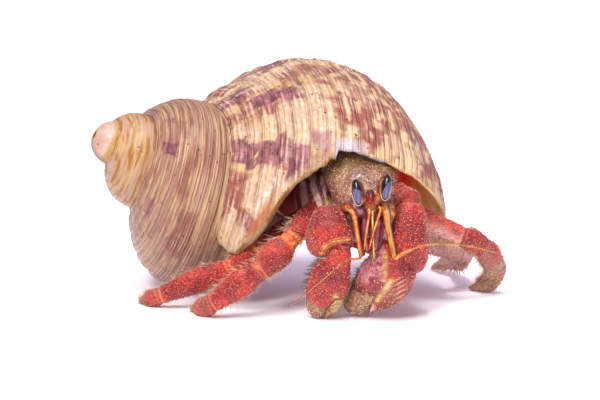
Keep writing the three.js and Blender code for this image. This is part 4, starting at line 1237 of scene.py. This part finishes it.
def knuckle(material):
    """The head of the right palm, which overlaps the wrist segment, with its orange hinge arc."""
    pieces = [plate("right_knuckle", KNUCKLE, material,
                    {"orange": (0.35, 0), "reach": 0.4, "rim": 0})]
    for i, (out, girth, yellow, dark) in enumerate(
            ((0, 0.22, 0, 0.3), (0.36, 0.2, 0.55, 0), (0.7, 0.17, 0, 0.15))):
        places = [vec(*p) + unit(vec(*p) - HINGE_MIDDLE) * out for p in HINGE]
        pieces.append(rod(f"right_hinge_{i}", places, (girth, girth), material, rows=40, sides=10,
                          orange=0.9, yellow=yellow, dark=dark))
    return pieces


def claw_piece(side, material):
    claw, is_left = CLAWS[side], side == "left"
    pieces = [plate(f"{side}_merus", claw["merus"], material,
                    {"orange": (0, 0.1), "rim": 0.3, "dark": 0.25 if is_left else 0}),
              plate(f"{side}_carpus", claw["carpus"], material,
                    {"orange": (0.35, 0.3), "rim": 0.5, "dark": 0 if is_left else 0.14})]
    pieces += [hand_piece(f"{side}_{part}", *values, material) for part, *values in HANDS[side]]
    pieces.append(membrane(f"{side}_joint_0", claw["merus"], claw["carpus"], material,
                           fill=0.5, orange=0.45, dark=0.3))
    pieces.append(membrane(f"{side}_joint_1", claw["carpus"], claw["hand"], material, fill=0.6))
    core = skin_point(claw["hand"], np.linspace(0.3, 0.93, 24)[:, None],
                      angles(0, 360, 32, ring=True)[None, :], -0.4)
    pieces.append(lofted(f"{side}_core", core, material, tan=1, dark=0.2))
    return join(f"claw_{side}", pieces if is_left else pieces + knuckle(material))


def tint(s, colour, tone, mark, clouds, share, low, high):
    """A tone laid over the colour where the mark is strong, by the shared effect."""
    return s.effect(TINT, colour=colour, tone=tone, mark=s.mark(mark), clouds=clouds, share=share,
                    low=low, high=high)["colour"]


def limb_material():
    material, s, shader = new_material("strawberry_shell")
    where = s.place()
    red, clouds = mottle(s, where, 260.0, 4.0, 0.6, 0.4, 0.6, "crimson", "strawberry")
    orange, fine = mottle(s, where, 1500.0, 3.0, 0.6, 0.35, 0.65, "joint red", "joint orange")
    red = s.mix(s.ramp(fine, 0.46, 0.6) * 0.5, red, "deep crimson")
    beads, _ = s.cells(s.vector("ADD", where, (0.4, 0.2, 0.1)), 2600.0)
    red = s.mix(s.ramp(beads, 0.45, 0.75, 0.0, 0.55), red, "bead gap")
    red = s.mix(s.ramp(beads, 0.42, 0.2, 0.0, 0.55), red, "bead top")
    grains = s.effect(GRAIN, place=where, scale=3600.0, colour=red, crown="coral", wide=0.32,
                      share=0.3, foot=0.4)
    colour = grains["colour"]
    mauve = s.mix(s.ramp(clouds + (fine - 0.5) * 0.6, 0.38, 0.6), "palm mauve", "palm pink")
    colour = s.mix(s.mark("inner") * 0.85, colour, mauve)
    colour = tint(s, colour, orange, "orange", clouds, 0.9, 0.45, 0.9)
    tan = s.mix(s.ramp(fine, 0.35, 0.65), "tan", "light tan")
    tan = s.mix(s.ramp(s.noise(where, 700.0, 3.0, 0.6), 0.5, 0.66) * 0.7, tan, "tan spot")
    colour = tint(s, colour, tan, "tan", clouds, 0.9, 0.4, 0.8)
    colour = s.mix(s.mark("rim") * 0.5, colour, "collar pink")
    colour = s.mix(s.mark("pale") * 0.9, colour, "blush")
    yellow = s.mix(s.ramp(fine, 0.4, 0.6), "dull yellow", "pale yellow")
    colour = s.mix(s.mark("yellow"), colour, yellow)
    colour = s.mix(s.mark("dark"), colour, "soot")
    colour = s.mix(s.mark("tip"), colour, "claw tip")
    height = grains["height"] + fine * 0.5 + s.ramp(beads, 0.5, 0.1)
    finish_shader(s, shader, colour, s.ramp(fine, 0.3, 0.7, 0.4, 0.6),
                  s.bump(height, 0.9, 0.0002), Coat_Weight=0.15, Coat_Roughness=0.3,
                  Sheen_Weight=0.1, Sheen_Roughness=0.4, Sheen_Tint=(1, 0.8, 0.76, 1))
    return material


# Granules and bristles -------------------------------------------------------------------------

def granule_tree():
    """Geometry Nodes that strew low granules over a skin as thickly as its grain mark says."""
    tree = bpy.data.node_groups.new("Granules", "GeometryNodeTree")
    face = tree.interface
    for key, kind, value in (("Geometry", "Geometry", None), ("Spacing", "Float", 0.0005),
                             ("Size", "Float", 0.00017), ("Height", "Float", 0.9),
                             ("Seed", "Int", 4), ("Material", "Material", None)):
        socket = face.new_socket(key, in_out="INPUT", socket_type="NodeSocket" + kind)
        if value is not None:
            socket.default_value = value
    face.new_socket("Geometry", in_out="OUTPUT", socket_type="NodeSocketGeometry")
    s = Shade(tree)
    entry = s.node("NodeGroupInput")
    grain = s.node("GeometryNodeInputNamedAttribute", {"Name": "grain"}, data_type="FLOAT")[0]
    spread = s.node("GeometryNodeDistributePointsOnFaces", {
        "Mesh": entry["Geometry"], "Distance Min": entry["Spacing"], "Density Max": 9e6,
        "Density Factor": grain, "Seed": entry["Seed"]}, distribute_method="POISSON")
    bead = s.node("GeometryNodeMeshCone", {"Vertices": 5, "Radius Bottom": 1.0,
                                           "Radius Top": 0.45, "Depth": 1.0})
    height = s.split(s.node("GeometryNodeInputPosition")[0])[2]
    marked = s.node("GeometryNodeStoreNamedAttribute", {
        "Geometry": bead[0], "Name": "crown", "Value": height}, data_type="FLOAT",
        domain="POINT")
    low = s.node("GeometryNodeTransform", {
        "Geometry": marked[0], "Scale": s.combine(1.0, 1.0, entry["Height"])})
    change = s.node("FunctionNodeRandomValue", {"Seed": entry["Seed"]}, data_type="FLOAT")[1]
    big = s.math("POWER", change, 3.0)
    sized = s.node("GeometryNodeStoreNamedAttribute", {
        "Geometry": spread["Points"], "Name": "big", "Value": big}, data_type="FLOAT",
        domain="POINT")
    placed = s.node("GeometryNodeInstanceOnPoints", {
        "Points": sized[0], "Instance": low[0], "Rotation": spread["Rotation"],
        "Scale": (big * 1.1 + 0.65) * entry["Size"]})
    real = s.node("GeometryNodeRealizeInstances", {"Geometry": placed[0]})
    painted = s.node("GeometryNodeSetMaterial", {
        "Geometry": real[0], "Material": entry["Material"]})
    s.node("NodeGroupOutput", {0: painted[0]})
    return tree


def strew(name, base, tree, material, spacing, size, seed):
    """A plain mesh of granules over a piece; spacing and size are in mm."""
    obj = new_object(name, base.data.copy())
    modifier = obj.modifiers.new("granules", "NODES")
    modifier.node_group = tree
    sockets = {item.name: item.identifier for item in tree.interface.items_tree
               if item.in_out == "INPUT"}
    for key, value in {"Spacing": spacing * MM, "Size": size * MM, "Seed": seed,
                       "Material": material}.items():
        modifier[sockets[key]] = value
    make_plain(obj)
    points, _ = mesh_points(obj)
    points[:, 2] = np.maximum(points[:, 2], 0)
    move_points(obj, points)
    if not obj.data.uv_layers:
        obj.data.uv_layers.new(name=LIE)
    return obj


def granule_material():
    material, s, shader = new_material("pale_granule")
    base, clouds = mottle(s, s.place(), 300.0, 4.0, 0.6, 0.35, 0.65, "granule crimson",
                          "granule red")
    base = s.mix(s.mark("inner") * 0.8, base, "granule mauve")
    base = tint(s, base, "granule orange", "orange", clouds, 0.8, 0.45, 0.9)
    base = tint(s, base, "granule tan", "tan", clouds, 0.8, 0.4, 0.8)
    base = s.mix(s.mark("pale") * 0.7, base, "granule blush")
    base = s.mix(s.mark("dark"), base, "soot")
    chance = s.ramp(s.mark("big"), 0.0, 0.5, 0.4, 0.9)
    crown = s.mix(s.mark("tan"), "crown pink", "crown cream")
    colour = s.mix(s.ramp(s.mark("crown"), 0.2, 0.6) * chance, base, crown)
    finish_shader(s, shader, colour, 0.4, None, Coat_Weight=0.2, Coat_Roughness=0.3)
    return material


# A bristle has a ring of three points at its root, one half way, and its end.
BRISTLE_FACES = [(0, 1, 4, 3), (3, 4, 6), (1, 2, 5, 4), (4, 5, 6), (2, 0, 3, 5), (5, 3, 6),
                 (2, 1, 0)]
BRISTLE_POINTS = 7
# The bristles' map has six by six cells, one for each segment, with a margin in every cell.
BAKE_CELLS = 6
BAKE_MARGIN, BAKE_SHARE = 0.08, 0.84
BRISTLE_PATCH = 0.0015                  # half the width of a bristle's own patch of the map
CLAW_CELLS = {"right": 16, "left": 19}  # the first of each claw's three cells
BODY_CELL = 30
ALL_ROUND = (0, 360)


def form_spots(rng, form, ts, turns, count):
    """Roots on a segment, their outward ways, the way along it, and their places on a map."""
    t = rng.uniform(*ts, count)
    a = np.radians(rng.uniform(*turns, count))
    root = skin_point(form, t, a, -0.05)
    outward = unit(skin_point(form, t, a, 1.0) - root)
    return root, outward, unit(form["to"] - form["from"]), a / TAU % 1, t


def skin_spots(rng, points, ways, along, count):
    """The same, on points of a skin."""
    picked = rng.integers(0, len(points), count)
    share = (points[picked] - points.min(axis=0)) / np.ptp(points, axis=0)
    return points[picked], ways[picked], along, share[:, 1], share[:, 2]


def bristles(name, tufts, material, seed):
    """Curved three-sided bristles. Each tuft has the function that finds its roots with its
    values, then its cell of the bake map, length, lean to the far end, thickness and tone."""
    rng = np.random.default_rng(seed)
    points, bake, tones = [], [], []
    turn = angles(0, 360, 3, ring=True)[None, :, None]
    for spots, values, cell, length, lean, thick, tone in tufts:
        root, outward, along, across, up = spots(rng, *values)
        count = len(root)
        way = unit(outward + along * lean + rng.normal(0, 0.22, (count, 3)))
        reach = (length * rng.uniform(0.55, 1.2, count))[:, None]
        bend = unit(along * 0.6 + vec(0, 0, -0.25) + rng.normal(0, 0.25, (count, 3)))
        bend = bend * reach * 0.25
        side = unit(np.cross(way, vec(0.3, 0.2, 1)))
        ring = thick * (np.cos(turn) * side[:, None] + np.sin(turn) * np.cross(way, side)[:, None])
        rows = np.concatenate([
            root[:, None] + ring,
            (root + way * reach * 0.5 + bend * 0.25)[:, None] + 0.72 * ring,
            (root + way * reach + bend)[:, None]], axis=1)
        rows[..., 2] = np.maximum(rows[..., 2], 0.01)
        points.append(rows.reshape(-1, 3))
        # Each bristle has a small patch of its own round its root's place in the cell.
        column = np.tile([-1, 0, 1, -1, 0, 1, 0], count)
        row = np.tile([-1, -1, -1, 0, 0, 0, 1], count)
        bake.append(np.stack([
            (place + BAKE_MARGIN + BAKE_SHARE * np.repeat(share, BRISTLE_POINTS)) / BAKE_CELLS
            + BRISTLE_PATCH * step
            for place, share, step in ((cell % BAKE_CELLS, across, column),
                                       (cell // BAKE_CELLS, up, row))], axis=-1))
        tones.append(np.full(count * BRISTLE_POINTS, tone))
    points = np.concatenate(points)
    faces = [tuple(base + c for c in face) for base in range(0, len(points), BRISTLE_POINTS)
             for face in BRISTLE_FACES]
    far = np.tile([0, 0, 0, 0.5, 0.5, 0.5, 1], len(points) // BRISTLE_POINTS)
    return make_object(name, points, faces, material, BAKE, np.concatenate(bake),
                       {"far": far, "tone": np.concatenate(tones)})


def bristle_material():
    material, s, shader = new_material("bristle")
    change = s.noise(s.place(), 900.0, 1.0)
    pale = s.mix(s.ramp(s.mark("far") + (change - 0.5), 0.0, 0.9), "bristle root", "bristle gold")
    finish_shader(s, shader, s.mix(s.mark("tone"), pale, "bristle brown"), 0.45)
    return material


# Feelers and mouthparts ------------------------------------------------------------------------

# Each feeler's rods: its look, its first and last radius, and the places it runs through.
FEELERS = {
    "antennule_right": [
        ("plain", 0.3, 0.17, [(10.1, -24.4, 17.4), (10.4, -27.2, 18.2), (10.7, -28.1, 17.8),
                              (10.35, -28.9, 15.4), (9.84, -30, 11.97)])],
    "antennule_left": [
        ("plain", 0.3, 0.15, [(11.9, -24.4, 17.4), (12.2, -27, 18.2), (12.4, -27.7, 17.7),
                              (11.5, -28.9, 15.2), (10.61, -30, 12.1)]),
        ("olive", 0.22, 0.13, [(11.6, -26, 18.0), (11.2, -27.6, 17.9), (11.2, -28.5, 15.6),
                               (11.37, -30.2, 10.6)])],
    "antenna_right_stalk": [
        ("base", 0.7, 0.6, [(6.9, -23.8, 17.4), (7.2, -25.2, 18.0), (7.8, -26.8, 17.6)]),
        ("base", 0.54, 0.44, [(7.5, -26.2, 18.0), (8.2, -27.6, 17.4), (8.6, -28.5, 16.2)]),
        ("plain", 0.38, 0.32, [(8.5, -28.2, 16.5), (8.8, -29.2, 14.5), (9.4, -31, 10.95)])],
    "antenna_left_stalk": [
        ("base", 0.85, 0.7, [(12.8, -23.6, 17.2), (13.2, -25.6, 18.1), (13.3, -26.9, 17.8)]),
        ("base", 1.1, 0.75, [(13.4, -24.0, 18.5), (13.9, -26.0, 17.8), (14.2, -26.8, 16.2)]),
        ("striped", 0.66, 0.55, [(13.1, -26.4, 18.2), (13.35, -27.9, 17.3), (13.5, -28.8, 15.6)]),
        ("striped", 0.52, 0.4, [(13.4, -28.5, 16.4), (13.8, -29.5, 14.2), (14.55, -31.2, 10.7)])],
    "antenna_right_feeler": [
        ("plain", 0.21, 0.14, [(9.45, -31.1, 10.95), (8.6, -31.1, 10.75), (7.5, -31.2, 10.8)]),
        ("dull", 0.14, 0.1, [(7.6, -31.2, 10.8), (6.2, -32.2, 10.1), (2.6, -32.8, 7.1),
                             (-1.3, -32.5, 3.8)])],
    "antenna_left_feeler": [
        ("plain", 0.4, 0.3, [(14.5, -31.3, 10.75), (15.6, -31.3, 11.6), (17.1, -31.1, 12.3)]),
        ("ringed", 0.19, 0.13, [(17.0, -31.1, 12.25), (19.4, -30.4, 12.85), (22.9, -29, 12.7),
                                (26.8, -27.3, 12.0), (30.8, -25, 10.6)])],
    "maxilliped_right": [
        ("plain", 0.75, 0.35, [(9.9, -22.6, 15.6), (9.0, -26.2, 15.4), (9.3, -27.0, 12.6),
                               (9.9, -26.6, 10.4)]),
        ("pink", 0.42, 0.24, [(10.3, -23, 15.8), (10.0, -26.9, 15.9), (10.1, -27.6, 13.4),
                              (10.4, -27.2, 11.2)]),
        ("plain", 0.4, 0.2, [(10.9, -26, 17.2), (10.9, -27.4, 15.2), (10.95, -27.3, 12.6)])],
    "maxilliped_left": [
        ("pink", 0.9, 0.45, [(11.7, -22.6, 15.6), (12.2, -26, 15.2), (12.1, -26.7, 13),
                             (11.7, -26.2, 11.2)]),
        ("plain", 0.42, 0.22, [(12.9, -23, 15.8), (12.95, -26.9, 15.9), (12.6, -27.5, 13.6),
                               (12.2, -27.2, 11.6)])],
}
FEELER_LOOKS = {"plain": {}, "olive": {"olive": 0.75}, "striped": {"striped": 1},
                "ringed": {"olive": 0.55}, "dull": {"olive": 0.6, "base": 0.8},
                "pink": {"pink": 1}, "base": {"base": 1}}
FINE_RINGS = {"rows": 300, "sides": 8, "rings_per_mm": 2.6}
CHEEK = [(8.0, -25.6, 18.5), (8.8, -26.8, 17.9), (9.9, -27, 17.3)]
BASE_THORNS = [(6.3, -25.2, 18.5), (6.9, -26.2, 18.6), (7.3, -27.0, 18.2), (13.0, -26.6, 18.8),
               (13.8, -27.1, 18.2)]


def feeler_piece(name, material):
    pieces = []
    for i, (look, start, end, places) in enumerate(FEELERS[name]):
        rings = FINE_RINGS if look in ("ringed", "dull") else {}
        pieces.append(rod(f"{name}_{i}", places, (start, end), material, **rings,
                          **FEELER_LOOKS[look]))
    return join(name + "_look", pieces)


def thorns_piece(material):
    """Small thorns along the shield's left rim and on the feelers' bases."""
    spines = []
    for step in np.linspace(0.4, 4.2, 7):
        half = SHIELD_HALF * (1 - SHIELD_TAPER * (1 - step / SHIELD_LENGTH) ** 2)
        spines.append((on_head(half * 0.985, -step, 0.1),
                       unit(HEAD_LEFT + 0.5 * HEAD_FORWARD + 0.5 * HEAD_UP), 0.75, 0.13))
    spines += [(vec(*place), unit(vec(-0.1, -0.6, 0.7)), 0.6, 0.12) for place in BASE_THORNS]
    return join("thorns", [
        rod(f"thorns_{i}", [root - way * 0.2, root + way * length * 0.5, root + way * length],
            (radius, radius * 0.15), material, rows=10, sides=7, orange=0.3)
        for i, (root, way, length, radius) in enumerate(spines)])


def feeler_material():
    material, s, shader = new_material("ringed_feeler")
    where, striped, half = s.place(), s.mark("striped"), s.mark("half")
    colour, clouds = mottle(s, where, 900.0, 3.0, 0.5, 0.35, 0.65, "feeler rust", "feeler orange")
    olive = s.mix(s.ramp(clouds, 0.4, 0.6), "olive", "pale olive")
    colour = s.mix(s.mark("olive"), colour, olive)
    base, _ = mottle(s, where, 1500.0, 3.0, 0.6, 0.42, 0.58, "base rust", "base orange")
    colour = s.mix(s.mark("base"), colour, base)
    colour = s.mix(striped * s.ramp(half, 0.0, 0.35), colour, "stripe olive")
    # Painted light: a painted highlight down the middle of each rod, and painted shade along its
    # two sides as seen from the front.
    from_middle = s.math("ABSOLUTE", half)
    lit = s.ramp(from_middle, 0.5, 0.1) * s.ramp(clouds, 0.38, 0.62, 0.1, 0.7)
    colour = s.mix(lit, colour, "feeler light")
    colour = s.mix(s.ramp(from_middle, 0.6, 0.95, 0.0, 0.9), colour, "feeler edge shade")
    colour = s.mix(striped * s.ramp(from_middle, 0.2, 0.05), colour, "stripe brown")
    colour = s.mix(s.mark("edge") * 0.6, colour, "rod end")
    colour = s.mix(s.ramp(s.mark("ring"), 0.2, -0.6) * 0.8, colour, "ring brown")
    finish_shader(s, shader, colour, 0.38, s.bump(clouds, 0.3, 0.0001), Coat_Weight=0.3)
    return material


def mouth_material():
    material, s, shader = new_material("mouthpart")
    colour, clouds = mottle(s, s.place(), 600.0, 3.0, 0.5, 0.35, 0.65, "mouth night",
                            "mouth maroon")
    pink = s.mix(s.ramp(clouds, 0.4, 0.6), "mouth plum", "mouth pink")
    colour = s.mix(s.mark("pink") * 0.75, colour, pink)
    colour = s.mix(s.ramp(s.mark("rim"), 0.3, 0.8) * 0.5, colour, "mouth rim")
    finish_shader(s, shader, colour, 0.38, s.bump(clouds, 0.6, 0.00015), Coat_Weight=0.15)
    return material


# The object ------------------------------------------------------------------------------------

shell_look, shield_look, flesh_look = shell_material(), shield_material(), flesh_material()
cornea_look, orange_look, mouth_look = eye_material(), orange_material(), mouth_material()
feeler_look, limb_look = feeler_material(), limb_material()
granule_look, bristle_look = granule_material(), bristle_material()
granules = granule_tree()

keep(shell_spire(shell_look), "shell", "shell")
keep(shell_turn(shell_look), "shell", "shell")
shield = keep(shield_piece(shield_look), "shield", "shield")
body = keep(body_piece(flesh_look), "soft_body", "body")
for eye_side, sign in (("right", -1), ("left", 1)):
    keep(eye_piece(f"cornea_{eye_side}", sign, cornea_look), "eye", f"eye_{eye_side}")
    keep(stalk_piece(f"stalk_{eye_side}", sign, orange_look), "antenna", f"eyestalk_{eye_side}")
keep(plate("brow_wedge", BROW_WEDGE, mouth_look, {"rim": 0}), "shield")
keep(plate("brow_plate", BROW_PLATE, orange_look, {"rim": 0.15, "dark": 0.25}), "antenna")
keep(rod("cheek_right", CHEEK, (0.55, 0.7), flesh_look, cheek=1), "soft_body")
for rod_name in FEELERS:
    if rod_name.startswith("maxilliped"):
        keep(feeler_piece(rod_name, mouth_look), "mouthpart", rod_name)
    else:
        keep(feeler_piece(rod_name, feeler_look), "antenna", rod_name)
keep(strew("granules_shield", shield, granules, granule_look, spacing=0.29, size=0.08, seed=30),
     "shield")
keep(thorns_piece(limb_look), "shield")

# How each segment looks: its orange start and end and how far they reach, where it turns tan,
# and how strong its rim, tip, paleness and pale underside are.
LEG_LOOKS = {
    "right_front": [{"orange": (0, 1), "rim": 0.5, "reach": 0.2},
                    {"orange": (1.1, 0.7), "reach": 0.5}, {"orange": (0.4, 0)},
                    {"tan": 0.55, "tip": 1}],
    "right_rear": [{"orange": (0, 1), "rim": 0.5, "reach": 0.16},
                   {"orange": (1, 0.8), "reach": 0.4}, {"orange": (0.5, 0.8)},
                   {"orange": (0.7, 0), "tan": 0.65, "tip": 1}],
    "left_front": [{"orange": (0, 0.2), "pale": 0.05, "under": 0.6}, {"orange": (0.3, 0)},
                   {"tan": 0.45, "pale": 0.05, "under": 0.15}, {"tan": -0.35, "tip": 1}],
    "left_rear": [{"pale": 0.75}, {"pale": 0.8}, {"pale": 0.85}, {"pale": 0.9, "tan": 0.8}],
}
for number, leg_name in enumerate(LEGS):
    leg = leg_piece(leg_name, limb_look, LEG_LOOKS[leg_name])
    keep(leg, "limb", *(f"leg_{leg_name}_{part}" for part in SEGMENTS))
    keep(strew(f"granules_{leg_name}", leg, granules, granule_look, spacing=0.28, size=0.08,
               seed=number), "limb")
for number, claw_side in enumerate(CLAWS):
    claw = claw_piece(claw_side, limb_look)
    keep(claw, "limb", *(f"claw_{claw_side}_{part}" for part in CLAW_PARTS))
    keep(strew(f"granules_{claw_side}_claw", claw, granules, granule_look, spacing=0.27,
               size=0.105, seed=10 + number), "limb")

leg_tufts = []
for number, leg_name in enumerate(LEGS):
    pale = -0.4 if leg_name == "left_rear" else 0.0
    for i, form in enumerate(leg_forms(leg_name)):
        cell, ts = number * 4 + i, (0.04 if i else 0.55, 0.97)
        leg_tufts += [
            (form_spots, (form, ts, (-30, 30), 50), cell, 0.65, 1.0, 0.028, 0.1 + pale),
            (form_spots, (form, ts, (150, 210), 90), cell, 0.8, 0.9, 0.028, 0.1 + pale),
            (form_spots, (form, ts, ALL_ROUND, 480), cell, 0.36, 1.7, 0.025, pale - 0.1),
            (form_spots, (form, (0.88, 0.98), ALL_ROUND, 50), cell, 0.6, 1.4, 0.028, pale),
            (form_spots, (form, ts, (-20, 20), 22), cell, 1.5, 0.7, 0.036, -0.3),
            (form_spots, (form, ts, (160, 200), 26), cell, 1.6, 0.5, 0.036, -0.3)]
    leg_tufts.append(
        (form_spots, (form, (0.05, 0.85), ALL_ROUND, 160), cell, 0.5, 0.9, 0.03, 0.45))
keep(bristles("leg_bristles", leg_tufts, bristle_look, seed=5), "limb")

claw_tufts = []
for claw_side, claw_forms in CLAWS.items():
    for i, form in enumerate(claw_forms.values()):
        cell = CLAW_CELLS[claw_side] + i
        claw_tufts += [
            (form_spots, (form, (0.05, 0.95), ALL_ROUND, 900), cell, 0.34, 1.4, 0.022, -0.1),
            (form_spots, (form, (0.1, 0.9), (-25, 25), 70), cell, 0.7, 0.6, 0.028, 0.5),
            (form_spots, (form, (0.1, 0.9), (155, 205), 70), cell, 0.7, 0.6, 0.028, 0.5)]
left_claw, right_claw = CLAWS["left"], CLAWS["right"]
claw_tufts += [
    (form_spots, (left_claw["merus"], (0.82, 1.0), ALL_ROUND, 260), CLAW_CELLS["left"],
     0.6, 1.0, 0.03, -0.2),
    (form_spots, (right_claw["hand"], (0.12, 0.7), (165, 200), 90), CLAW_CELLS["right"] + 2,
     1.3, 0.2, 0.035, 1.0),
    (form_spots, (left_claw["hand"], (0.45, 0.97), (160, 205), 90), CLAW_CELLS["left"] + 2,
     0.9, 0.3, 0.035, 1.0)]
keep(bristles("claw_bristles", claw_tufts, bristle_look, seed=6), "limb")

skin, ways = mesh_points(body)
wall = (ways[:, 0] < -0.25) & (skin[:, 1] < -14) & (skin[:, 2] > 16)
wall_values = (skin[wall], ways[wall], unit(vec(0.4, -0.6, -0.7)), 420)
body_tufts = [(skin_spots, wall_values, BODY_CELL, 0.9, 2.5, 0.028, -0.2)]
keep(bristles("body_bristles", body_tufts, bristle_look, seed=7), "soft_body")


# Floor, light and camera -----------------------------------------------------------------------

FLOOR_HALF = 3.0                        # metres, as everything in this section


def floor_piece():
    material, s, shader = new_material("white_ground")
    # Painted light: the floor glows violet, faintly in front of the crab and more from just behind
    # it, which lightens the shadow behind the crab and tints the shadows violet.
    finish_shader(s, shader, s.mix(s.noise(s.place(), 300.0, 3.0), "floor cool", "floor white"),
                  0.6, None, Emission_Color=(0.7, 0.56, 0.88, 1))
    depth = s.split(s.place())[1]
    glow = s.ramp(depth, -0.015, 0.03, 0.08, 0.32) + s.ramp(depth, 0.1, 0.5, 0.0, 0.1)
    s.feed(shader.inputs["Emission Strength"], glow)
    mesh = bpy.data.meshes.new("ground")
    mesh.from_pydata([(x * FLOOR_HALF, y * FLOOR_HALF, 0)
                      for x, y in ((-1, -1), (1, -1), (1, 1), (-1, 1))], [], [(0, 1, 2, 3)])
    mesh.materials.append(material)
    obj = new_object("ground", mesh)


def lamp(name, place, aim, size, power, colour=(1, 1, 1)):
    light = bpy.data.lights.new(name, "AREA")
    light.shape = "RECTANGLE"
    light.size, light.size_y = size
    light.energy = power
    light.color = colour
    obj = new_object(name, light)
    obj.location = place
    way = obj.location - type(obj.location)(aim)
    obj.rotation_euler = way.to_track_quat("Z", "Y").to_euler()
    return obj


floor_piece()
world = bpy.data.worlds.new("studio")
world.use_nodes = True
background = world.node_tree.nodes["Background"].inputs
background["Color"].default_value = (0.90, 0.84, 1.0, 1)
background["Strength"].default_value = 0.42
bpy.context.scene.world = world
sun = bpy.data.lights.new("ceiling", "SUN")
sun.energy = 2.0
sun.angle = math.radians(40)
sun.color = (1, 0.985, 0.96)
new_object("ceiling", sun).rotation_euler = (math.radians(19), math.radians(-10), 0)
main_lamp = lamp("key", (-0.10, -0.30, 0.26), (0, 0, 0.012), (0.08, 0.14), 1.12, (1, 0.98, 0.95))
main_lamp.visible_glossy = False
lamp("strip", (0.01, -0.11, 0.33), (0.011, -0.027, 0.02), (0.011, 0.09), 0.32)
lamp("fill", (0.26, -0.32, 0.10), (0, 0, 0.015), (0.2, 0.2), 0.25)

camera_data = bpy.data.cameras.new("camera")
camera_data.lens = 135
camera_data.sensor_width = 36
camera_data.clip_start = 0.01
camera = new_object("camera", camera_data)
camera.location = (0.0001, -0.36618, 0.07366)
camera.rotation_euler = (math.radians(81), 0, 0)
bpy.context.scene.camera = camera
bpy.context.scene.view_settings.view_transform = "Standard"
